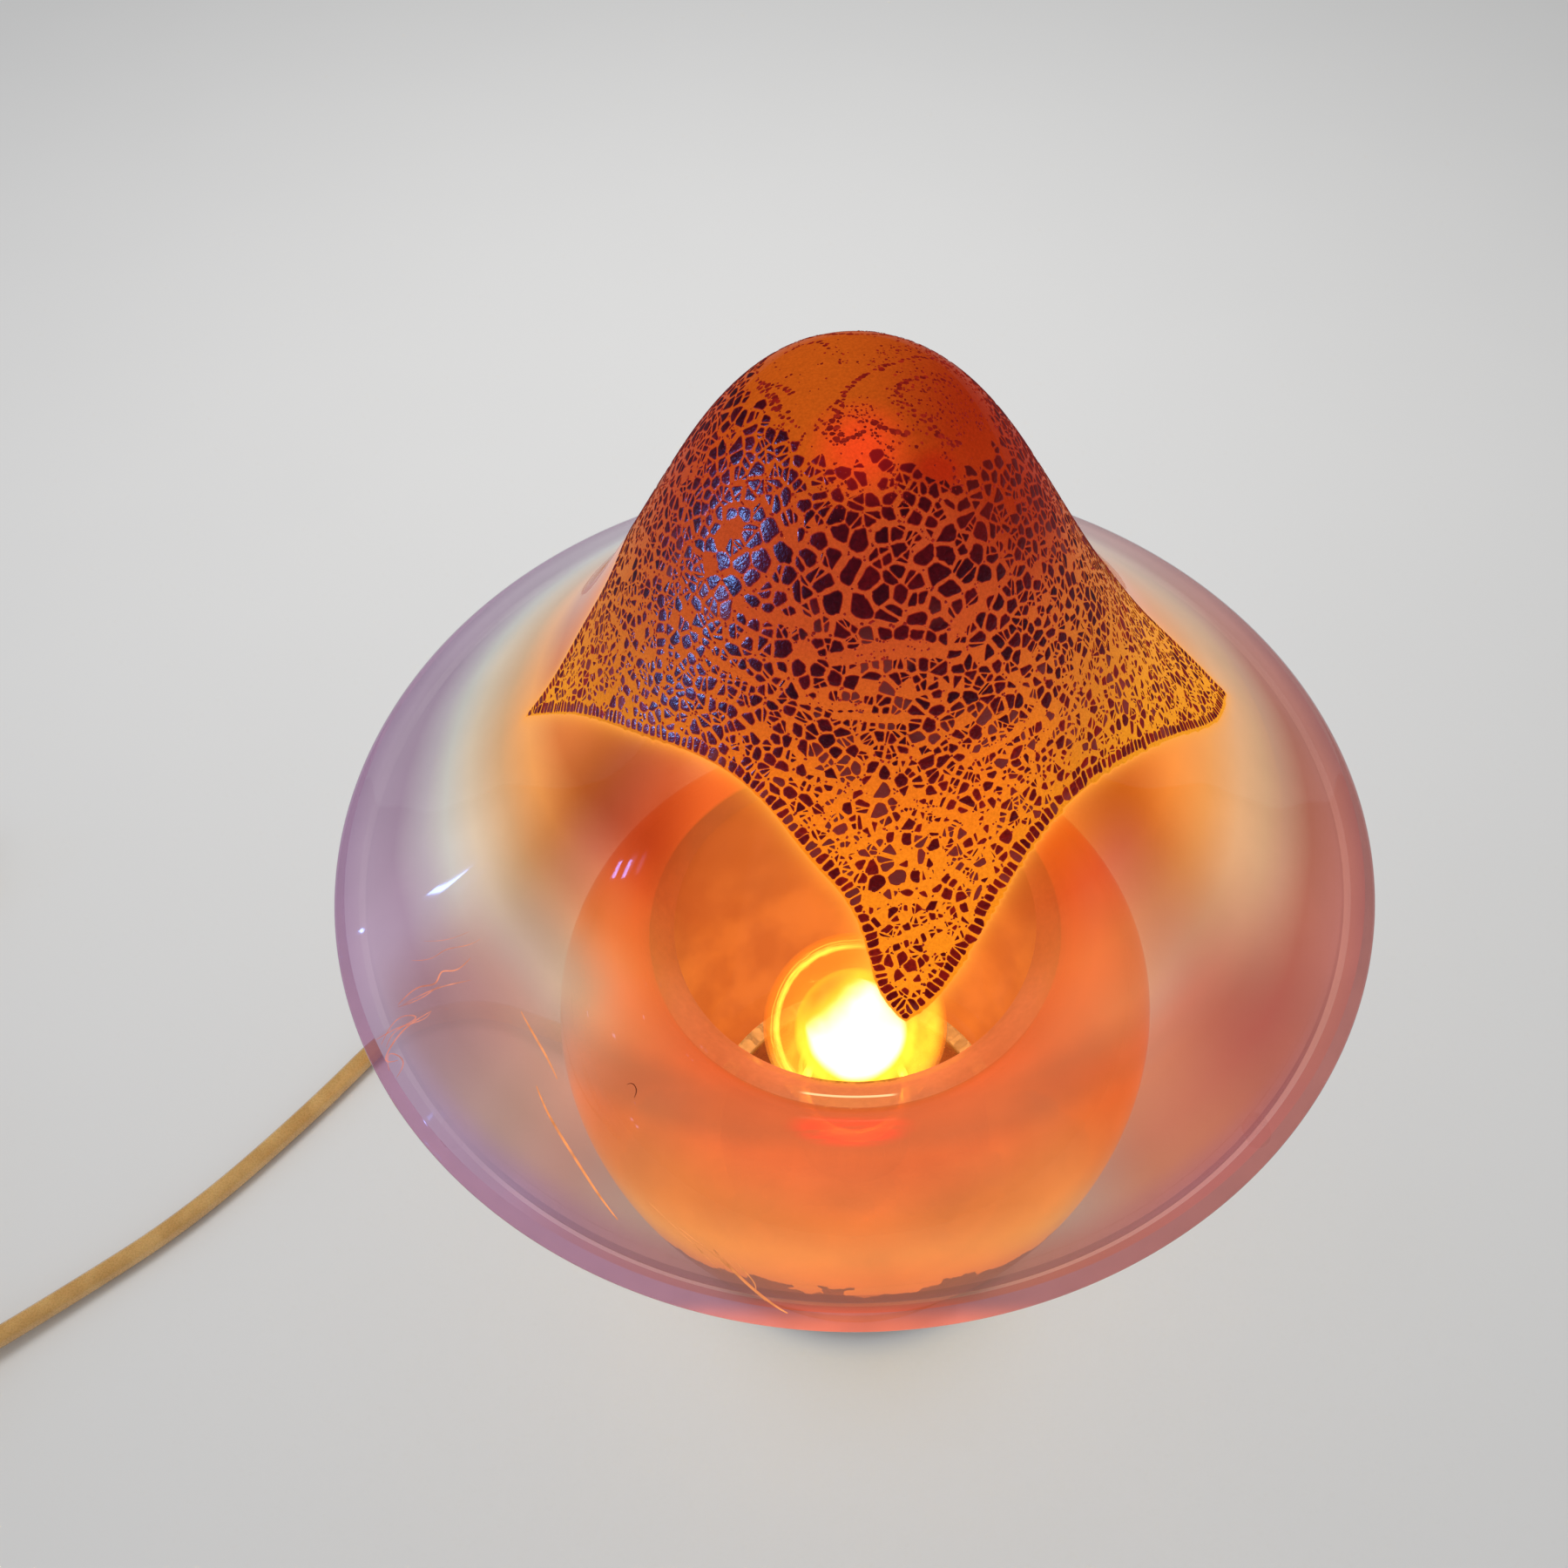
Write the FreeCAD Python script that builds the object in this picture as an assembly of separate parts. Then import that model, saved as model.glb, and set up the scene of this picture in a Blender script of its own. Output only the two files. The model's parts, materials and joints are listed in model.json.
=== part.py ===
import FreeCAD, Part
import os
import math

# Table lamp of blown glass in the shape of a mushroom.  Millimetres, +Z up.
# Origin: middle of the footprint, on the surface the lamp stands on.
# -Y is the front.  The cord leaves at the left, slightly to the back.

V = FreeCAD.Vector
os.makedirs("parts", exist_ok=True)

# ------------------------------------------------------------------ dimensions
cap_radius = 120.0          # widest radius of the cap, at its lip
rim_z = 196.0               # height of the middle of the cap's lip
cap_wall = 4.0
cap_lip = 2.0               # lip bead radius
# outer surface of the cap, radius and height over the rim plane
cap_outline = [
    (0.0, 120.3), (6.0, 120.0), (12.0, 118.9), (18.0, 115.6), (24.0, 109.9),
    (30.0, 102.1), (36.0, 92.5), (42.0, 82.2), (48.0, 71.9), (54.0, 62.1),
    (60.0, 53.2), (66.0, 45.4), (72.0, 38.7), (78.0, 32.8), (84.0, 27.3),
    (90.0, 22.1), (96.0, 17.15), (102.0, 12.5), (108.0, 8.1), (113.0, 4.6), (117.2, 1.85),
]

base_wall = 3.5
# outer surface of the base, from the foot up over the belly, in at the throat
# and out again along the collar under the cap
base_outline = [
    (51.5, 15.0), (57.5, 18.2), (64.0, 27.0), (70.5, 41.0), (76.6, 59.0),
    (81.6, 80.0), (84.0, 101.0), (82.6, 118.5), (76.6, 130.5), (67.5, 136.9),
    (59.5, 140.6), (54.7, 146.0), (57.2, 152.6), (65.5, 159.6), (79.0, 168.6),
    (96.0, 180.2), (113.4, 191.5),
]
foot_inner_r = 45.5         # hole in the bottom of the glass
collar_lip_r = 2.0

felt_t = 1.5
pan_r = 61.5                # pressed metal foot
pan_t = 1.5
pan_top = 13.5
well_r = 21.5               # dished middle of the foot that holds the lampholder
well_floor = 4.0
cover_t = 1.5
gasket_t = 1.5

cord_d = 6.8
cord_r = cord_d / 2
cord_floor = 3.55           # height of the cord's axis where it lies on the floor
exit_az = 160.0             # direction in which the cord leaves the foot
exit_z = 7.4
relief_end = 92.0           # radius at which the bend relief's tail ends

# screw lamp with a 27 mm cap, pear-shaped bulb 55 mm across
globe_r = 27.5
tip_z = 20.0
globe_z = 87.0
cap_shell_r = 13.1
thread_pitch = 3.62
holder_r = 18.5
holder_top = 45.2

# in-line switch on the cord
switch_len = 64.0
switch_w = 26.0
switch_h = 17.6
switch_split = 8.6
switch_entry = (-288.0, -80.0)
switch_dir = 218.0
switch_z = 6.8              # height of the cord's axis in the switch
rocker_tilt = 8.0

# coil of the unused cord
coil_at = (-375.0, -40.0)
coil_in = 30.8
coil_out = 44.8
coil_h = 20.9

shapes = {}


def keep(name, shape):
    shapes[name] = shape


def add(*s):
    out = s[0]
    for k in s[1:]:
        out = out.fuse(k)
    return out


def one(shape):
    s = shape.removeSplitter()
    return s.Solids[0] if len(s.Solids) == 1 else s


def cyl(r, h, x=0, y=0, z=0, d=V(0, 0, 1)):
    return Part.makeCylinder(r, h, V(x, y, z), d)


def ring(r0, r1, z0, z1, x=0, y=0):
    return cyl(r1, z1 - z0, x, y, z0).cut(cyl(r0, z1 - z0 + 2, x, y, z0 - 1))


def revolve(points):
    """Solid of revolution about Z from a closed outline of (radius, height)."""
    p = [V(r, 0, z) for r, z in points]
    w = Part.makePolygon(p + [p[0]])
    return Part.Face(w).revolve(V(0, 0, 0), V(0, 0, 1), 360)


def box(x0, x1, y0, y1, z0, z1):
    return Part.makeBox(x1 - x0, y1 - y0, z1 - z0, V(x0, y0, z0))


def slab(x0, x1, y0, y1, z0, z1, r, r2=0.0):
    """Box with rounded upright edges, and rounded top edges when r2 is given."""
    b = box(x0, x1, y0, y1, z0, z1)
    b = b.makeFillet(r, [e for e in b.Edges if abs(e.Vertexes[0].Z - e.Vertexes[1].Z) > 1e-6])
    if r2:
        tops = [e for e in b.Edges if all(abs(v.Z - z1) < 1e-6 for v in e.Vertexes)]
        b = b.makeFillet(r2, tops)
    return b


def curve(points):
    c = Part.BSplineCurve()
    c.interpolate([V(r, 0, z) for r, z in points])
    return c


def offset_points(points, d):
    """Points at distance d to the left of a curve through points, in the plane of radius and height."""
    c = curve(points)
    out = []
    for r, z in points:
        u = c.parameter(V(r, 0, z))
        t = c.tangent(u)[0]
        n = V(-t.z, 0, t.x)
        out.append((r + n.x * d, z + n.z * d))
    return out


def at(radius, az, z=0.0):
    a = math.radians(az)
    return V(radius * math.cos(a), radius * math.sin(a), z)


def route(name, points, r, note=True):
    """Round tube along straight runs joined by tangent arcs."""
    p = [V(*q) for q in points]
    runs = [(p[i + 1] - p[i]).Length for i in range(len(p) - 1)]
    edges, start, radii = [], p[0], []
    for i in range(1, len(p) - 1):
        a, b = (p[i] - p[i - 1]), (p[i + 1] - p[i])
        a.normalize()
        b.normalize()
        turn = math.acos(max(-1, min(1, a.dot(b))))
        cut = 0.45 * min(runs[i - 1], runs[i])
        radius = cut / math.tan(turn / 2)
        s, e = p[i] - a * cut, p[i] + b * cut
        inward = (b - a)
        inward.normalize()
        centre_way = p[i] + inward * (math.sqrt(cut * cut + radius * radius) - radius)
        edges.append(Part.LineSegment(start, s).toShape())
        edges.append(Part.Arc(s, centre_way, e).toShape())
        radii.append(round(radius, 1))
        start = e
    edges.append(Part.LineSegment(start, p[-1]).toShape())
    path = Part.Wire(edges)
    way = p[1] - p[0]
    section = Part.Wire(Part.makeCircle(r, p[0], way))
    tube = path.makePipeShell([section], True, False)
    want = math.pi * r * r * path.Length
    if note:
        print(name, "length %.1f volume ratio %.4f radii" % (path.Length, tube.Volume / want), radii,
              "runs", [round(x, 1) for x in runs], "valid", tube.isValid())
    return tube


# ------------------------------------------------------------------ glass cap
outer = curve(cap_outline)
inner_pts = [q for q in offset_points(cap_outline, -cap_wall) if q[0] >= 0]
first = (0.0, cap_outline[0][1] - cap_wall)
inner_pts = [first] + [q for q in inner_pts[1:] if q[0] > 2.0]
# keep the last inner point just inside the lip bead
inner_end = (114.6, -1.0)
inner_pts = [q for q in inner_pts if q[0] < 108.5] + [inner_end]
inner = curve(inner_pts)
z = rim_z
o_end, i_end = cap_outline[-1], inner_end
lip = Part.Arc(V(o_end[0], 0, o_end[1]), V(cap_radius, 0, -0.15), V(117.6, 0, -2.15))
lip2 = Part.Arc(V(117.6, 0, -2.15), V(116.0, 0, -2.05), V(i_end[0], 0, i_end[1]))
w = Part.Wire([
    outer.toShape(),
    lip.toShape(),
    lip2.toShape(),
    inner.toShape().reversed(),
    Part.LineSegment(V(0, 0, first[1]), V(0, 0, cap_outline[0][1])).toShape(),
])
cap = Part.Face(w).revolve(V(0, 0, 0), V(0, 0, 1), 360)
cap = cap if cap.ShapeType == "Solid" else Part.Solid(cap.Shells[0])
cap.translate(V(0, 0, rim_z))
keep("cap_glass", cap)

# ------------------------------------------------------------------ glass base
b_out = curve(base_outline)
b_in_pts = offset_points(base_outline, base_wall)
b_in_pts = [q for q in b_in_pts if q[1] > 21.0]
# the inner surface ends at the collar's lip and at the turned-in foot
lip_out = base_outline[-1]
lip_in = b_in_pts[-1]
mid = ((lip_out[0] + lip_in[0]) / 2, (lip_out[1] + lip_in[1]) / 2)
t = b_out.tangent(b_out.LastParameter)[0]
lip_top = (mid[0] + t.x * base_wall / 2, mid[1] + t.z * base_wall / 2)
foot_in = (foot_inner_r, 18.6)
b_in = curve([(52.0, 19.3)] + b_in_pts)
w = Part.Wire([
    Part.LineSegment(V(foot_inner_r, 0, 15.0), V(base_outline[0][0], 0, 15.0)).toShape(),
    b_out.toShape(),
    Part.Arc(V(lip_out[0], 0, lip_out[1]), V(lip_top[0], 0, lip_top[1]), V(lip_in[0], 0, lip_in[1])).toShape(),
    b_in.toShape().reversed(),
    Part.LineSegment(V(52.0, 0, 19.3), V(foot_in[0], 0, foot_in[1])).toShape(),
    Part.LineSegment(V(foot_in[0], 0, foot_in[1]), V(foot_inner_r, 0, 15.0)).toShape(),
])
base = Part.Face(w).revolve(V(0, 0, 0), V(0, 0, 1), 360)
base = base if base.ShapeType == "Solid" else Part.Solid(base.Shells[0])
# one blown piece, kept as bowl, belly, shoulder and collar, which meet face to face
throat_z = base_outline[11][1]
levels = [0.0, base_outline[5][1], 124.0, throat_z, 220.0]
for name, low, high in zip(("base_bowl", "base_belly", "base_shoulder", "base_collar"), levels, levels[1:]):
    keep(name, one(base.common(box(-130, 130, -130, 130, low, high))))

# clear soft dots on the collar's lip that the cap rests on
def cap_inner_z(r):
    lo, hi = inner.FirstParameter, inner.LastParameter
    for _ in range(60):
        m = (lo + hi) / 2
        if inner.value(m).x < r:
            lo = m
        else:
            hi = m
    return inner.value((lo + hi) / 2).z + rim_z


dots = []
for k in range(4):
    a = 45 + 90 * k
    top = cap_inner_z(lip_top[0]) + 1.0
    q = at(lip_top[0], a)
    d = cyl(3.0, top - (lip_top[1] - 1.2), q.x, q.y, lip_top[1] - 1.2)
    dots.append(max(d.cut(base).Solids, key=lambda s: s.Volume))
# trim the dots to the cap's inner face with a little room
trim = cap.copy()
trim.translate(V(0, 0, -0.35))
dots = [max(d.cut(trim).Solids, key=lambda s: s.BoundBox.Center.z * -1) for d in dots]
keep("rim_bumpers", Part.makeCompound(dots))

# ------------------------------------------------------------------ foot
keep("foot_felt", ring(31.0, 61.0, 0.0, felt_t))

pan = revolve([
    (5.0, well_floor), (well_r, well_floor), (well_r, pan_top - pan_t),
    (pan_r - pan_t, pan_top - pan_t), (pan_r - pan_t, felt_t), (pan_r, felt_t),
    (pan_r, pan_top - 1.2), (pan_r - 0.5, pan_top - 0.35), (pan_r - 1.4, pan_top),
    (well_r - pan_t, pan_top), (well_r - pan_t, well_floor + pan_t), (5.0, well_floor + pan_t),
])
ex = at(1, exit_az)
hole = cyl(4.5, 8.0, *at(pan_r - 5, exit_az, exit_z), ex)
wire_slot = cyl(3.0, 6.0, *at(well_r - 4, exit_az, 9.0), ex)
pan = one(pan.cut(hole).cut(wire_slot))
keep("foot_pan", pan)

posts, screws = [], []
for k in range(3):
    q = at(26.5, 100 + 120 * k)
    posts.append(ring(1.25, 3.0, felt_t + cover_t, pan_top - pan_t, q.x, q.y))
    s = cyl(2.8, 0.9, q.x, q.y, 0.55)
    s = s.cut(box(q.x - 3, q.x + 3, q.y - 0.4, q.y + 0.4, 0.3, 0.95))
    s = add(s, cyl(1.2, 7.0, q.x, q.y, 1.45))
    screws.append(one(s))
keep("cover_posts", Part.makeCompound(posts))
keep("cover_screws", Part.makeCompound(screws))

cover = ring(12.0, pan_r - pan_t - 0.3, felt_t, felt_t + cover_t)
for k in range(3):
    q = at(26.5, 100 + 120 * k)
    cover = cover.cut(cyl(1.5, 4, q.x, q.y, 0))
keep("bottom_cover", one(cover))

keep("glass_gasket", ring(46.0, 55.0, pan_top, pan_top + gasket_t))

# three spring clips that hook over the turned-in foot of the glass
clip_pts = [(33.0, 13.5), (43.6, 13.5), (43.6, 21.9), (47.6, 21.9), (49.8, 19.5),
            (50.4, 20.1), (48.0, 22.7), (42.8, 22.7), (42.8, 14.3), (33.0, 14.3)]
w = Part.makePolygon([V(r, -4.0, z) for r, z in clip_pts] + [V(clip_pts[0][0], -4.0, clip_pts[0][1])])
clip0 = Part.Face(w).extrude(V(0, 8.0, 0))
clips, rivets = [], []
for k in range(3):
    a = 100 + 120 * k
    c = clip0.copy()
    c = c.cut(cyl(1.25, 3, 37.5, 0, 12.5))
    c.rotate(V(0, 0, 0), V(0, 0, 1), a)
    clips.append(c)
    q = at(37.5, a)
    rv = add(cyl(1.2, 2.7, q.x, q.y, 11.75), cyl(2.2, 0.9, q.x, q.y, 14.35), cyl(2.2, 0.7, q.x, q.y, 11.25))
    rivets.append(one(rv))
    shapes["foot_pan"] = one(shapes["foot_pan"].cut(cyl(1.25, 6, q.x, q.y, 9)))
keep("glass_clips", Part.makeCompound(clips))
keep("clip_rivets", Part.makeCompound(rivets))

# ------------------------------------------------------------------ lampholder
keep("nipple", ring(3.3, 4.9, 0.6, 11.9))


def nut(af, z0, z1, r):
    hexagon = Part.Face(Part.makePolygon([at(af / math.sqrt(3), 60 * k, z0) for k in range(7)]))
    return hexagon.extrude(V(0, 0, z1 - z0)).cut(cyl(r, z1 - z0 + 2, 0, 0, z0 - 1))


keep("nipple_nuts", Part.makeCompound([nut(14.0, 0.6, 3.1, 4.95), nut(14.0, 8.05, 10.6, 4.95)]))
keep("nipple_washer", ring(4.97, 9.0, 3.15, 3.98))

hb = revolve([(5.0, 5.5), (17.3, 5.5), (holder_r, 6.7), (holder_r, 17.0), (17.7, 17.0), (17.7, 18.5),
              (16.9, 18.5), (16.9, 8.0), (5.0, 8.0)])
hb = one(hb.cut(cyl(3.4, 6.0, *at(15.0, exit_az, 10.6), ex)))
keep("holder_base", hb)
hs = revolve([(17.85, 17.1), (holder_r, 17.1), (holder_r, 40.6), (18.1, 42.6), (17.0, 44.4), (16.2, holder_top), (15.2, holder_top),
              (14.9, 44.9), (14.9, 44.1), (15.8, 43.6), (16.9, 42.0), (16.9, 18.7), (17.85, 18.7)])
# grip flutes round the sleeve
for k in range(30):
    q = at(holder_r + 0.35, 12 * k)
    hs = hs.cut(cyl(0.75, 15.0, q.x, q.y, 20.5))
keep("holder_sleeve", one(hs))
ins = revolve([(0.0, 12.5), (14.0, 12.5), (16.5, 13.3), (16.5, 16.4), (15.6, 17.0), (0.0, 17.0)])
ins = ins.cut(box(-2.9, 2.9, -13, 13, 15.4, 18.0))
for y in (-10.0, 10.0):
    ins = ins.cut(cyl(1.35, 4.0, 0, y, 13.2))
keep("holder_insert", one(ins))
keep("holder_shell", revolve([(13.35, 17.05), (15.3, 17.05), (15.3, 17.55), (13.85, 17.55), (13.85, 42.0), (14.4, 42.8), (14.1, 43.1), (13.35, 42.4)]))
cc = add(box(-2.5, 2.5, -12.6, 0.6, 15.45, 16.05), box(-2.5, 2.5, 0.0, 0.6, 15.45, 18.9), box(-2.5, 2.5, -4.4, 0.6, 18.9, 19.5))
keep("centre_contact", one(cc))
terminals = []
for y in (-10.0, 10.0):
    zt = 16.1 if y < 0 else 15.45
    h = cyl(2.3, 0.85, 0, y, zt)
    h = h.cut(box(-0.35, 0.35, y - 3, y + 3, zt + 0.45, zt + 2))
    terminals.append(one(add(h, cyl(1.25, zt - 13.4, 0, y, 13.4))))
shapes["centre_contact"] = one(shapes["centre_contact"].cut(cyl(1.35, 3, 0, -10.0, 14.5)))
keep("terminal_screws", Part.makeCompound(terminals))

# ------------------------------------------------------------------ bulb
keep("bulb_tip", revolve([(0.0, tip_z), (2.8, tip_z + 0.2), (4.6, tip_z + 1.0), (4.6, tip_z + 1.9), (2.3, tip_z + 1.9), (2.3, tip_z + 3.6), (0.0, tip_z + 3.6)]))
keep("bulb_insulator", revolve([(2.45, tip_z + 2.1), (5.4, tip_z + 2.1), (10.9, tip_z + 5.2), (10.9, tip_z + 7.0), (2.45, tip_z + 7.0)]))
z0 = tip_z + 5.4
prof = [(11.1, z0)]
n = 4
prof.append((11.9, z0 + 0.25))
for k in range(n):
    zc = z0 + 2.2 + k * thread_pitch
    prof += [(12.1, zc - 1.1), (cap_shell_r, zc - 0.3), (cap_shell_r, zc + 0.3), (12.1, zc + 1.1)]
ztop = z0 + 2.2 + (n - 1) * thread_pitch + 1.7
prof += [(12.15, ztop), (12.6, ztop + 0.6), (12.6, ztop + 4.0), (12.2, ztop + 4.0), (12.0, ztop + 0.8), (11.1, ztop)]
keep("bulb_cap", revolve(prof))
ct = ztop + 4.0
g = globe_r
a_end = 40.0                     # degrees from straight down where neck meets globe
sx, sz = g * math.sin(math.radians(a_end)), globe_z - g * math.cos(math.radians(a_end))
pts = [(11.8, ct - 2.4), (11.95, ct), (12.6, ct + 5.0), (14.1, ct + 12.4), (sx, sz)]
for a in range(52, 180, 12):
    pts.append((g * math.sin(math.radians(a)), globe_z - g * math.cos(math.radians(a))))
pts.append((0.0, globe_z + g))
go = curve(pts)
pin = [q for q in offset_points(pts[:-1], 0.8)] + [(0.0, globe_z + g - 0.8)]
gi = curve(pin)
w = Part.Wire([
    go.toShape(),
    Part.LineSegment(V(0, 0, globe_z + g), V(0, 0, globe_z + g - 0.8)).toShape(),
    gi.toShape().reversed(),
    Part.LineSegment(V(pin[0][0], 0, pin[0][1]), V(pts[0][0], 0, pts[0][1])).toShape(),
])
bg = Part.Face(w).revolve(V(0, 0, 0), V(0, 0, 1), 360)
bg = bg if bg.ShapeType == "Solid" else Part.Solid(bg.Shells[0])
keep("bulb_glass", bg)
keep("bulb_stem", revolve([(0.0, ct - 1.8), (9.4, ct - 1.8), (9.4, ct - 0.8), (3.2, ct + 5.0), (2.0, ct + 24.0), (2.9, ct + 26.2), (0.0, ct + 27.0)]))
sup = []
for s in (-1, 1):
    sup.append(route("support", [(s * 1.3, 0, ct + 25.0), (s * 5.6, 0, ct + 33.0), (s * 11.0, 0, ct + 39.5)], 0.3, False))
stem = shapes["bulb_stem"]
for k in sup:
    stem = stem.cut(k)
shapes["bulb_stem"] = one(stem)
keep("bulb_leads", Part.makeCompound(sup))
fil = route("filament", [(-10.6, 0, ct + 40.2), (-6.0, 0, ct + 43.6), (0.0, 0, ct + 44.8), (6.0, 0, ct + 43.6), (10.6, 0, ct + 40.2)], 0.6, False)
for k in sup:
    fil = fil.cut(k)
keep("bulb_filament", max(fil.Solids, key=lambda s: s.Volume))

# ------------------------------------------------------------------ cord entry
# moulded grommet with its tapered bend relief, solid, made round the cord
def turned(points, base, way):
    """Solid of revolution from (distance along way, radius), about a line through base."""
    p = [V(r, 0, s) for s, r in points]
    p = [V(0, 0, points[0][0])] + p + [V(0, 0, points[-1][0])]
    f = Part.Face(Part.makePolygon(p + [p[0]]))
    s = f.revolve(V(0, 0, 0), V(0, 0, 1), 360)
    s.Placement = FreeCAD.Placement(base, FreeCAD.Rotation(V(0, 0, 1), way))
    return s


relief = turned([(54.6, 4.35), (57.2, 4.35), (59.7, 4.35), (61.65, 4.35), (61.65, 5.2), (64.0, 5.2), (65.0, 4.9),
                 (78.0, 4.3), (relief_end - 0.6, 3.9), (relief_end, 3.6)], V(0, 0, exit_z), ex)
keep("cord_relief", relief)
start = at(relief_end, exit_az, exit_z)
keep("cord_inside", cyl(cord_r, 11.5, *at(43.0, exit_az, exit_z), ex))

side = at(1, exit_az + 90)
wires = {}
for name, s in (("wire_live", 1), ("wire_neutral", -1)):
    o = side * (1.75 * s)
    p = [at(42.9, exit_az, exit_z) + o, at(34.0, exit_az, 7.6) + o * 1.05, at(24.5, exit_az, 9.2) + o * 0.85,
         at(17.0, exit_az, 10.4) + o * 0.8, at(12.4, exit_az + 9 * s, 10.8) + o * 0.9]
    wires[name] = route(name, [tuple(q) for q in p], 1.1)
    keep(name, wires[name])

# saddle clamp that grips the sheath, under the foot's top plate
cl_at = at(47.0, exit_az)
clamp = box(-5.0, 5.0, -9.0, 9.0, 3.3, 11.8)
clamp = clamp.cut(cyl(cord_r + 0.05, 20, -10, 0, exit_z, V(1, 0, 0)))
lower = clamp.common(box(-6, 6, -10, 10, 3.2, 6.4))
upper = clamp.common(box(-6, 6, -10, 10, 6.6, 11.9))
scr = []
for y in (-6.6, 6.6):
    lower = lower.cut(cyl(1.35, 6, 0, y, 2.5))
    upper = upper.cut(cyl(1.35, 6.5, 0, y, 5.0))
    h = cyl(2.1, 1.0, 0, y, 3.3).cut(box(-0.3, 0.3, y - 3, y + 3, 3.2, 3.7))
    lower = lower.cut(cyl(2.3, 1.2, 0, y, 3.2))
    scr.append(one(add(h, cyl(1.25, 6.6, 0, y, 4.3))))
turn = FreeCAD.Placement(V(cl_at.x, cl_at.y, 0), FreeCAD.Rotation(V(0, 0, 1), exit_az))
for name, s in (("cord_clamp", lower), ("clamp_seat", upper), ("clamp_screws", Part.makeCompound(scr))):
    s = s if name == "clamp_screws" else one(s)
    s.Placement = turn.multiply(s.Placement)
    keep(name, s)

# ------------------------------------------------------------------ cord, lamp to switch
fz = cord_floor
u = at(1, switch_dir)
e0 = V(switch_entry[0], switch_entry[1], switch_z)
lamp_run = [
    (start.x + 0.3 * ex.x, start.y + 0.3 * ex.y, start.z),
    (-112.3, 41.3, 5.9),
    (-138.8, 52.6, fz),
    (-168.0, 45.0, fz),
    (-190.5, 12.0, fz),
    (-222.8, -27.4, fz),
    (-256.5, -54.8, fz + 0.4),
    (e0.x - u.x * 0.35, e0.y - u.y * 0.35, switch_z),
]
keep("cord_lamp_run", route("cord_lamp_run", lamp_run, cord_r))

# ------------------------------------------------------------------ in-line switch
def place(s):
    """Switch pieces are drawn along +X from the lamp-side end, then laid on the cord's line."""
    s = s.copy()
    s.Placement = FreeCAD.Placement(V(e0.x, e0.y, 0), FreeCAD.Rotation(V(0, 0, 1), switch_dir)).multiply(s.Placement)
    return s


L, W2 = switch_len, switch_w / 2
px = L / 2
pz = 13.2                                   # rocker pin height
shell = slab(0, L, -W2, W2, 0, switch_h, 7.5, 2.6)
low_e = [e for e in shell.Edges if all(abs(v.Z) < 1e-6 for v in e.Vertexes)]
shell = shell.makeFillet(1.2, low_e)
inside = slab(2.0, L - 2.0, -W2 + 2.0, W2 - 2.0, 2.0, switch_h - 2.0, 5.6)
hollow = shell.cut(inside)
for x0 in (-1.0, L - 3.0):
    hollow = hollow.cut(cyl(cord_r + 0.15, 4.0, x0, 0, switch_z, V(1, 0, 0)))
window = box(px - 10.3, px + 10.3, -5.8, 5.8, switch_h - 5, switch_h + 2)
hollow = hollow.cut(window)
lower = hollow.common(box(-2, L + 2, -20, 20, -1, switch_split))
upper = hollow.common(box(-2, L + 2, -20, 20, switch_split + 0.1, 30))
# screw towers
towers = [(8.5, 8.2), (L - 8.5, -8.2)]
for x, y in towers:
    lower = lower.fuse(cyl(2.6, switch_split - 2.0, x, y, 2.0)).cut(cyl(1.3, 12, x, y, -1)).cut(cyl(2.6, 1.9, x, y, -0.5))
    upper = upper.fuse(cyl(2.6, switch_h - 2.05 - switch_split - 0.05, x, y, switch_split + 0.1)).cut(cyl(1.25, 6.4, x, y, switch_split - 0.1))
# ears that carry the rocker's pin
for y in (-8.0, 6.2):
    ear = box(px - 3.0, px + 3.0, y, y + 1.8, 10.4, switch_h - 1.9)
    upper = upper.fuse(ear)
upper = upper.cut(cyl(1.05, 17.0, px, -8.5, pz, V(0, 1, 0)))
keep("switch_case_lower", place(one(lower)))
keep("switch_case_upper", place(one(upper)))
ss = []
for x, y in towers:
    h = cyl(2.3, 1.1, x, y, 0.25).cut(box(x - 0.35, x + 0.35, y - 3, y + 3, 0.0, 0.7))
    ss.append(one(add(h, cyl(1.15, 11.0, x, y, 1.35))))
keep("switch_screws", place(Part.makeCompound(ss)))
keep("switch_pin", place(cyl(1.0, 15.8, px, -7.9, pz, V(0, 1, 0))))

prof = Part.Wire([
    Part.LineSegment(V(px - 9.2, -5.3, 15.3), V(px - 9.2, -5.3, 18.7)).toShape(),
    Part.Arc(V(px - 9.2, -5.3, 18.7), V(px, -5.3, 17.2), V(px + 9.2, -5.3, 18.7)).toShape(),
    Part.LineSegment(V(px + 9.2, -5.3, 18.7), V(px + 9.2, -5.3, 15.3)).toShape(),
    Part.LineSegment(V(px + 9.2, -5.3, 15.3), V(px + 3.4, -5.3, 12.2)).toShape(),
    Part.LineSegment(V(px + 3.4, -5.3, 12.2), V(px + 2.4, -5.3, 10.9)).toShape(),
    Part.LineSegment(V(px + 2.4, -5.3, 10.9), V(px - 2.4, -5.3, 10.9)).toShape(),
    Part.LineSegment(V(px - 2.4, -5.3, 10.9), V(px - 3.4, -5.3, 12.2)).toShape(),
    Part.LineSegment(V(px - 3.4, -5.3, 12.2), V(px - 9.2, -5.3, 15.3)).toShape(),
])
rk = Part.Face(prof).extrude(V(0, 10.6, 0))
rk = rk.cut(cyl(1.05, 16, px, -8, pz, V(0, 1, 0)))
rk.rotate(V(px, 0, pz), V(0, 1, 0), rocker_tilt)
keep("switch_rocker", place(one(rk)))

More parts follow.
